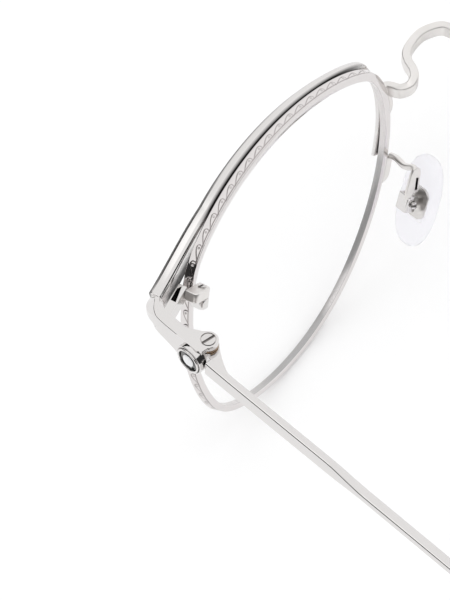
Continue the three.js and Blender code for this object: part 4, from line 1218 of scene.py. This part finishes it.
def rim_lug():
    """The lug between the strap and the rim, with a wedge pocket in its top, and the pocket's floor."""
    x, _, z = front_point(lock_angle, RIM_WALL + SOLDER_GAP, 0)
    reach = (hinge_x + ENDPIECE_OUTSET - lens_centre_x) / cos(radians(FRONT_WRAP))
    top = z + LUG_HEIGHT
    floor = top - LUG_POCKET_DEPTH
    corners = [(-RIM_DEPTH, z), (0, z), (0, top), (-RIM_DEPTH, top)]
    rings = [
        [(at, sag(at, z) + depth, up) for depth, up in corners] for at in np.linspace(x, reach, LUG_STEPS + 1)
    ]
    pocket = [
        [(at, sag(at, z) + depth, up) for at, depth in LUG_POCKET] for up in (floor, top + TOOL_OVERSHOOT)
    ]
    lug = bevelled(loft("rim_lug", lens_placed(rings)), SMALL_EDGE, 2)
    return carved(lug, loft("pocket_tool", lens_placed(pocket))), floor


def endpiece():
    half = ENDPIECE_HEIGHT / 2
    lug, pocket_floor = rim_lug()
    piece = face_outwards(united(
        endpiece_strap(),
        lug,
        hinge_eye(half - EYE_THICKNESS + EYE_LIFT, EYE_FLARE, EYE_COVER),
        hinge_eye(-half - EYE_LIFT, EYE_RADIUS + 2 * KNUCKLE_CLEARANCE, [(0, 0)]),
        medallion_boss(),
    ))
    # Painted shade: the lug pocket's floor is marked for a near-black colour
    at, _, up = places_of(piece, lens_matrix).T
    low, high = np.min(LUG_POCKET, axis=0)[0], np.max(LUG_POCKET, axis=0)[0]
    beside = (at > low - POCKET_SIDE_MARGIN) & (at < high + POCKET_SIDE_MARGIN)
    set_attribute(piece, "painted_shade", beside & (np.abs(up - pocket_floor) < POCKET_FLOOR_MARGIN))
    return piece


def hinge_screw():
    length = ENDPIECE_HEIGHT - HINGE_SCREW.height - WASHER_CLEARANCE
    lift = shift(0, 0, ENDPIECE_HEIGHT / 2 - HINGE_SCREW.height)
    place = hinge_matrix @ lift @ as_matrix(turn("Z", HINGE_SLOT_TURN))
    return slotted_screw("hinge_screw", HINGE_SCREW, length, place)


knuckle_height = ENDPIECE_HEIGHT - 2 * EYE_THICKNESS - 2 * (WASHER_THICKNESS + 2 * WASHER_CLEARANCE)


def hinge_washer(sign):
    half = WASHER_THICKNESS / 2
    middle = sign * (knuckle_height / 2 + WASHER_CLEARANCE + half)
    inner = HINGE_SCREW.shank + SCREW_CLEARANCE
    piece = ring("hinge_washer", inner, WASHER_RADIUS, middle - half, middle + half, hinge_matrix)
    return bevelled(piece, FINE_EDGE, 2)


bezel_inner = MEDALLION_RADIUS - BEZEL_WALL
enamel_top = MEDALLION_CLEARANCE + ENAMEL_THICKNESS


def medallion_bezel():
    radii, heights = (bezel_inner, MEDALLION_RADIUS), (MEDALLION_CLEARANCE, BEZEL_DEPTH)
    return bevelled(ring("medallion_bezel", *radii, *heights, medallion_matrix), PLATE_EDGE, 4)


def medallion_enamel():
    radius = bezel_inner - MEDALLION_CLEARANCE
    piece = disc("medallion_enamel", radius, MEDALLION_CLEARANCE, enamel_top, medallion_matrix)
    return bevelled(piece, ENAMEL_EDGE, 2)


def medallion_cabochon():
    low = enamel_top + MEDALLION_CLEARANCE
    angles = np.linspace(0, pi / 2, 12)[:-1]
    dome = [(CABOCHON_RADIUS * cos(angle), low + CABOCHON_HEIGHT * sin(angle)) for angle in angles]
    return turned("medallion_cabochon", [(0, low), *dome, (0, low + CABOCHON_HEIGHT)], medallion_matrix)


# Temples and tips

ear_bend = radians(EAR_BEND)
tip_drop = hinge_place[2] - TIP_NOSE_HEIGHT / 2 * cos(ear_bend)
ear_length = (tip_drop - EAR_BEND_RADIUS * (1 - cos(ear_bend))) / sin(ear_bend)
bend_length = EAR_BEND_RADIUS * ear_bend
straight_length = TEMPLE_LENGTH - ear_length - bend_length
tip_entry = TEMPLE_LENGTH - TIP_COVER
bend_stations = straight_length + np.linspace(0, bend_length, EAR_STEPS + 1)


def temple_ring(length, section):
    """A section across the temple at one length from the hinge: straight, round the ear, straight down."""
    flat, bent = min(length, straight_length), max(length - straight_length, 0)
    angle = min(bent / EAR_BEND_RADIUS, ear_bend)
    past = max(bent - bend_length, 0)
    back = flat + EAR_BEND_RADIUS * sin(angle) + past * cos(angle)
    down = EAR_BEND_RADIUS * (1 - cos(angle)) + past * sin(angle)
    return [
        hinge_place + [TEMPLE_OUTSET + a, back + b * sin(angle), b * cos(angle) - down] for a, b in section
    ]


def temple_section(thickness, height, outer, top):
    """Pairs across and up from the temple's line, with the wider rounding on the outer upper edge."""
    left, low = outer - thickness + TEMPLE_EDGE, top - height + TEMPLE_EDGE
    corners = [
        (outer - TEMPLE_EDGE, low, TEMPLE_EDGE, -90),
        (outer - TEMPLE_CREASE, top - TEMPLE_CREASE, TEMPLE_CREASE, 0),
        (left, top - TEMPLE_EDGE, TEMPLE_EDGE, 90),
        (left, low, TEMPLE_EDGE, 180),
    ]
    return corners_rounded(corners, 6)


def temple_arm(shoulder):
    """The arm from its shoulder behind the boss to the core wire's end."""
    core = (CORE_SIZE, CORE_SIZE, CORE_SIZE / 2, CORE_SIZE / 2)
    stations = [(shoulder, TEMPLE_SHOULDER), (TEMPLE_NECK_END, TEMPLE_NECK)]
    for share in shares(SLIM_STEPS):
        size = TEMPLE_FULL + eased(share) * (TEMPLE_SLIM - TEMPLE_FULL)
        stations.append((SLIM_START + share * (SLIM_END - SLIM_START), size))
    stations += [(SLIM_STOP, TEMPLE_SLIM), (tip_entry - SOLDER_GAP, TEMPLE_ENTRY)]
    lengths = [tip_entry - SOLDER_GAP / 2, *bend_stations, TEMPLE_LENGTH - CORE_STOP]
    stations += [(length, core) for length in lengths]
    rings = [temple_ring(length, temple_section(*size)) for length, size in stations]
    return bevelled(loft("temple", rings), SHOULDER_EDGE, 3, SHOULDER_EDGE_ANGLE)


def temple():
    """The arm with its knuckle, which fans out of the arm's root."""
    shoulder = BOSS_SETBACK + BOSS_RADIUS + SHOULDER_GAP
    arm = temple_arm(shoulder)
    outer = TEMPLE_OUTSET + TEMPLE_SHOULDER[2] - 2 * SHOULDER_EDGE
    front = shoulder + 2 * SHOULDER_EDGE
    fan = [tuple(bezier(TEMPLE_FAN, t)[0]) for t in shares(TEMPLE_FAN_STEPS)[:-1]]
    outline = [(outer, front), (outer, TEMPLE_FAN[0][1]), *fan, *arc(0, 0, KNUCKLE_RADIUS, *KNUCKLE_ARC)]
    outline.append((KNUCKLE_RADIUS, front))
    knuckle = plate("knuckle", outline, -knuckle_height / 2, knuckle_height / 2, hinge_matrix)
    radius = HINGE_SCREW.shank + SCREW_CLEARANCE
    carved(knuckle, disc("bore_tool", radius, -knuckle_height, knuckle_height, hinge_matrix))
    bevelled(knuckle, SMALL_EDGE, 2)
    return face_outwards(combined(arm, "UNION", [knuckle]))


def temple_tip():
    """The sleeve's entry, taper, ear bend, swelling end and nose, with a channel for the core wire."""
    taper_start = tip_entry + TIP_ENTRY_EDGE
    swell_start, swell_end = bend_stations[-1], TEMPLE_LENGTH - TIP_NOSE_LENGTH
    stations = [(tip_entry, TIP_ENTRY_SHARE * TIP_ENTRY), (taper_start, TIP_ENTRY)]
    for share in TIP_TAPER_SHARES:
        stations.append((taper_start + share * TIP_TAPER, TIP_ENTRY + eased(share) * (TIP_FULL - TIP_ENTRY)))
    stations += [(station, TIP_FULL) for station in bend_stations]
    for share in TIP_SWELL_SHARES:
        station = swell_start + share * (swell_end - swell_start)
        stations.append((station, TIP_FULL + eased(share) * (TIP_END - TIP_FULL)))
    for angle in TIP_NOSE_ANGLES:
        share = TIP_NOSE_SHARE + (1 - TIP_NOSE_SHARE) * cos(angle)
        stations.append((swell_end + TIP_NOSE_LENGTH * sin(angle), share * TIP_END))
    rings = []
    for length, size in stations:
        rings.append(temple_ring(length, rounded_rectangle(*size, TIP_ROUNDING * min(size), 8)))
    bore = CORE_SIZE + 2 * CORE_CLEARANCE
    channel = rounded_rectangle(bore, bore, bore / 4)
    lengths = [tip_entry - TOOL_OVERSHOOT, *bend_stations, TEMPLE_LENGTH - CORE_STOP + CORE_CLEARANCE]
    tool = loft("channel_tool", [temple_ring(length, channel) for length in lengths])
    return carved(loft("temple_tip", rings), tool)


# Bridge, pad arms and pads

def wire_root(angle, thickness):
    outset = RIM_WALL + SOLDER_GAP + thickness / 2
    return lens_placed(front_point(radians(angle), outset, -RIM_DEPTH / 3))


def rim_strap(name, angle, spread, thickness):
    """A strap along the rim's outer wall that a wire is soldered to."""
    inner = RIM_WALL - SOLDER_OVERLAP
    slope = thickness / 4
    section = [(0, 0), (thickness, -slope), (thickness, slope - RIM_DEPTH), (0, -RIM_DEPTH)]
    rings = []
    for share in np.linspace(-1, 1, STRAP_STEPS + 1):
        place = radians(angle + share * spread)
        thin = 1 - STRAP_THINNING * abs(share) ** STRAP_THINNING_POWER
        rings.append([front_point(place, inner + out * thin, depth) for out, depth in section])
    return bevelled(loft(name, lens_placed(rings)), BROAD_EDGE)


def mirrored(piece, name):
    activate(piece)
    bpy.ops.object.duplicate()
    copy = bpy.context.object
    copy.name = name
    copy.data.name = name
    copy.data.transform(Matrix.Diagonal((-1, 1, 1, 1)))
    copy.data.flip_normals()
    return copy


def bridge():
    foot = wire_root(BRIDGE_FOOT_ANGLE, BRIDGE_STRAP.thickness)
    root = front_point(radians(BRIDGE_ROOT_ANGLE), RIM_WALL, BRIDGE_ROOT_DEPTH - RIM_DEPTH)
    half = [lens_placed(root), foot - [0, 0, BRIDGE_FOOT_DROP]]
    half += [foot * [share, 1, 1] + [0, back, up] for share, back, up in BRIDGE_POINTS]
    other = [point * [-1, 1, 1] for point in half[-2::-1]]
    section = rounded_rectangle(*BRIDGE_SECTION)
    piece = wire("wire_bridge", [*half, *other], section, BRIDGE_STEPS)
    strap = rim_strap("bridge_strap", *BRIDGE_STRAP)
    return combined(piece, "UNION", [mirrored(strap, "far_strap"), strap])


box_inner = LUG_THICKNESS / 2 + BOX_CLEARANCE
box_outer = box_inner + BOX_WALL
box_base = PAD_PIVOT_OUT + LUG_RADIUS + BOX_CLEARANCE
core_bottom = PAD_OUTER_DEPTH - CORE_PLATE_THICKNESS


def pad_arm():
    """The arm's wire and strap, with a slit cheek beside the pad's box."""
    foot = wire_root(ARM_FOOT_ANGLE, ARM_STRAP.thickness)
    points = [foot, *(foot + np.array(ARM_RIM_POINTS)), *pad_placed(ARM_PAD_POINTS)]
    section = arc(0, 0, ARM_WIRE_RADIUS, 0, 360, ARM_WIRE_SIDES)[:-1]
    piece = bevelled(wire("pad_arm", points, section, ARM_STEPS), BROAD_EDGE, 2, END_EDGE_ANGLE)
    strap = rim_strap("arm_strap", *ARM_STRAP)
    cheek = plate("arm_cheek", CHEEK_OUTLINE, -box_outer, CHEEK_THICKNESS - box_outer, across_pad)
    slit_floor = CHEEK_SLIT_DEPTH - box_outer
    bevelled(cheek, PLATE_EDGE)
    carved(cheek, plate("slit_tool", CHEEK_SLIT, -2 * box_outer, slit_floor, across_pad))
    combined(piece, "UNION", [strap, moved(cheek, pad_matrix)])
    # Painted shade: the cheek slit's floor is marked for a near-black colour
    places = places_of(piece, pad_matrix)
    low = np.min(CHEEK_SLIT, axis=0) - CHEEK_SLIT_MARGIN
    high = np.max(CHEEK_SLIT, axis=0) + CHEEK_SLIT_MARGIN
    in_slit = np.all((places[:, ::2] > low) & (places[:, ::2] < high), axis=1)
    set_attribute(piece, "painted_shade", in_slit & (np.abs(places[:, 1] + slit_floor) < CHEEK_SLIT_MARGIN))
    return piece


def pad_ring(out, inset):
    angles = np.linspace(0, 2 * pi, PAD_STEPS, endpoint=False)
    circle = np.stack([np.cos(angles), np.sin(angles)], axis=-1)
    rounded = np.sign(circle) * np.abs(circle) ** (2 / PAD_ROUNDNESS)
    across, up = (rounded * [PAD_WIDTH / 2 - inset, PAD_LENGTH / 2 - inset]).T
    return np.stack([out + 0 * angles, across, up], axis=-1)


def nose_pad():
    """The soft pad, with a pocket in its outer face for the core plate."""
    rings = [pad_ring(-PAD_BEARING_DEPTH, inset) for inset in PAD_BEARING_INSETS]
    for angle in PAD_BEARING_ANGLES:
        rings.append(pad_ring(-PAD_BEARING_DEPTH * cos(angle), PAD_SOFT_EDGE * (1 - sin(angle))))
    for angle in PAD_OUTER_ANGLES:
        rings.append(pad_ring(PAD_OUTER_DEPTH * sin(angle), PAD_OUTER_EDGE * (1 - cos(angle))))
    rings += [pad_ring(PAD_OUTER_DEPTH, inset) for inset in PAD_OUTER_INSETS]
    piece = loft("nose_pad", pad_placed(rings))
    y = CORE_PLATE_WIDTH / 2 + BOX_CLEARANCE
    z = CORE_PLATE_LENGTH / 2 + BOX_CLEARANCE
    low, high = (core_bottom - BOX_CLEARANCE, -y, -z), (PAD_OUTER_DEPTH + TOOL_OVERSHOOT, y, z)
    pocket = block("pocket_tool", low, high, pad_matrix)
    return carved(piece, bevelled(pocket, CORE_PLATE_ROUNDING, 8, POCKET_CORNER_ANGLE))


def pivot_bore():
    reach = box_outer + TOOL_OVERSHOOT
    return disc("bore_tool", PAD_SCREW.shank + SCREW_CLEARANCE, -reach, reach, pivot_matrix)


def pad_core():
    """The plate in the pad, with the lug that the pad's screw goes through."""
    outline = rounded_rectangle(CORE_PLATE_LENGTH, CORE_PLATE_WIDTH, CORE_PLATE_ROUNDING, 8)
    base = plate("pad_core", outline, core_bottom, PAD_OUTER_DEPTH, as_matrix(turn("Y", 90)))
    root = core_bottom + CORE_PLATE_THICKNESS / 2
    outline = [(root, -LUG_RADIUS), *arc(PAD_PIVOT_OUT, 0, LUG_RADIUS, -90, 90), (root, LUG_RADIUS)]
    united(base, plate("pad_lug", outline, -LUG_THICKNESS / 2, LUG_THICKNESS / 2, across_pad))
    carved(base, pivot_bore())
    return moved(bevelled(base, SMALL_EDGE, 2), pad_matrix)


def pad_box():
    mouth, half = PAD_PIVOT_OUT - LUG_RADIUS, BOX_LENGTH / 2
    low, high = (mouth, -box_outer, -half), (box_base + BOX_WALL, box_outer, half)
    channel = block("pad_box", low, high, Matrix())
    low = (mouth - TOOL_OVERSHOOT, -box_inner, -half - TOOL_OVERSHOOT)
    high = (box_base, box_inner, half + TOOL_OVERSHOOT)
    carved(channel, block("channel_tool", low, high, Matrix()), pivot_bore())
    return moved(bevelled(channel, PLATE_EDGE), pad_matrix)


def pad_screw():
    seat = box_outer + WASHER_CLEARANCE
    place = pad_matrix @ shift(PAD_PIVOT_OUT, seat, 0) @ as_matrix(turn("X", -90))
    return slotted_screw("pad_screw", PAD_SCREW, box_outer + seat, place)


# Dressing: finish, smooth shading, body and the node that each piece stands for


def dressed(piece, node, finish, body):
    name = f"{node}_finished"
    piece.name = name
    piece.data.name = name
    piece.data.materials.clear()
    piece.data.materials.append(finishes[finish])
    activate(piece)
    bpy.ops.object.shade_smooth_by_angle(angle=radians(SMOOTH_ANGLE))
    if finish != "soft_silicone":
        modified(piece, "WEIGHTED_NORMAL", keep_sharp=True)
    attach(piece, body)
    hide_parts(node)


def pair(piece, node, finish, body="front"):
    """A left piece and its mirrored twin, each on its own side's body."""
    for side, made in [("left", piece), ("right", mirrored(piece, "twin"))]:
        dressed(made, f"{side}_{node}", finish, body if body == "front" else f"{side}_{body}")


def all_pieces():
    pair(scroll_rim(), "rim", "engraved_metal")
    pair(clear_lens_piece(), "lens", "clear_lens")
    pair(brow_bar(), "brow_bar", "polished_metal")
    pair(closing_block(1), "rim_lock_upper", "plate_metal")
    pair(closing_block(-1), "rim_lock_lower", "polished_metal")
    pair(closing_screw(), "rim_lock_screw", "screw_steel")
    pair(endpiece(), "endpiece", "polished_metal")
    pair(hinge_screw(), "hinge_screw", "screw_steel")
    pair(hinge_washer(1), "hinge_washer_upper", "bearing_bronze")
    pair(hinge_washer(-1), "hinge_washer_lower", "bearing_bronze")
    pair(medallion_bezel(), "medallion_bezel", "polished_metal")
    pair(medallion_enamel(), "medallion_enamel", "dark_enamel")
    pair(medallion_cabochon(), "medallion_cabochon", "pale_enamel")
    pair(pad_arm(), "pad_arm", "plate_metal")
    pair(pad_box(), "pad_box", "polished_metal")
    pair(pad_screw(), "pad_screw", "screw_steel")
    dressed(bridge(), "bridge", "plate_metal", "front")
    pair(temple(), "temple", "polished_metal", "temple_arm")
    pair(temple_tip(), "temple_tip", "tip_acetate", "temple_arm")
    pair(nose_pad(), "nose_pad", "soft_silicone", "pad")
    pair(pad_core(), "pad_core", "plate_metal", "pad")


# Studio: white table, plain light, and a dark side and a lamp in the reflections

def white_table(shader):
    colour = shader.mixed(shader.noise(*TABLE_GRAIN), *TABLE_TONES)
    surface = shader.node("ShaderNodeBsdfDiffuse", None, colour)
    seen = shader.rays("Camera") + shader.rays("Glossy") + shader.rays("Transmission")
    glow = shader.node("ShaderNodeEmission", None, WHITE, TABLE_GLOW * seen)
    return shader.node("ShaderNodeAddShader", None, surface, glow)


def table():
    bpy.ops.object.select_all(action="DESELECT")
    bpy.ops.mesh.primitive_plane_add(size=TABLE_SIZE)
    floor = bpy.context.object
    floor.name = "white_table"
    floor.data.materials.append(material("white_table", white_table))


def studio_world():
    """Plain white light, with a dark side of the room and a lamp that only polished faces mirror."""
    world = bpy.data.worlds.new("studio")
    bpy.context.scene.world = world
    world.use_nodes = True
    shader = Shader(world.node_tree)
    direction = shader.node("ShaderNodeTexCoord", output="Generated")
    height = shader.node("ShaderNodeSeparateXYZ", None, direction, output="Z")
    level = shader.vector_maths("NORMALIZE", shader.vector_maths("MULTIPLY", direction, (1, 1, 0)))
    azimuth = radians(ROOM_DARK_AZIMUTH)
    side = (cos(azimuth), sin(azimuth), 0)
    facing = shader.vector_maths("DOT_PRODUCT", level, side, output="Value")
    around = shader.smooth_range(facing, *ROOM_DARK_EDGES, 0, 1)
    below = shader.smooth_range(height, *ROOM_DARK_TOP, 1, 0)
    towards = tuple(Vector(LAMP_TOWARDS).normalized())
    near = shader.vector_maths("DOT_PRODUCT", direction, towards, output="Value")
    lamp = shader.smooth_range(near, *[cos(radians(angle)) for angle in LAMP_EDGES], 0, LAMP_GLOW)
    strength = (ROOM_LIGHT + lamp) * (1 - ROOM_DARKNESS * around * below)
    room = shader.node("ShaderNodeBackground", None, WHITE, strength)
    plain = shader.node("ShaderNodeBackground", None, WHITE, 1.0)
    mixed = shader.node("ShaderNodeMixShader", None, shader.rays("Glossy"), plain, room)
    shader.node("ShaderNodeOutputWorld", None, mixed)


def camera():
    azimuth, elevation = radians(VIEW_AZIMUTH), radians(VIEW_ELEVATION)
    flat = cos(elevation)
    back = Vector((sin(azimuth) * flat, -cos(azimuth) * flat, sin(elevation)))
    data = bpy.data.cameras.new("camera")
    data.lens = VIEW_LENS
    data.sensor_width = VIEW_SENSOR
    data.clip_start = VIEW_NEAR * MM
    made = bpy.data.objects.new("camera", data)
    made.location = (Vector(VIEW_TARGET) + back * VIEW_DISTANCE) * MM
    made.rotation_euler = (-back).to_track_quat("-Z", "Y").to_euler()
    bpy.context.collection.objects.link(made)
    bpy.context.scene.camera = made


camera()
all_pieces()
table()
studio_world()
bpy.context.scene.view_settings.view_transform = "Standard"
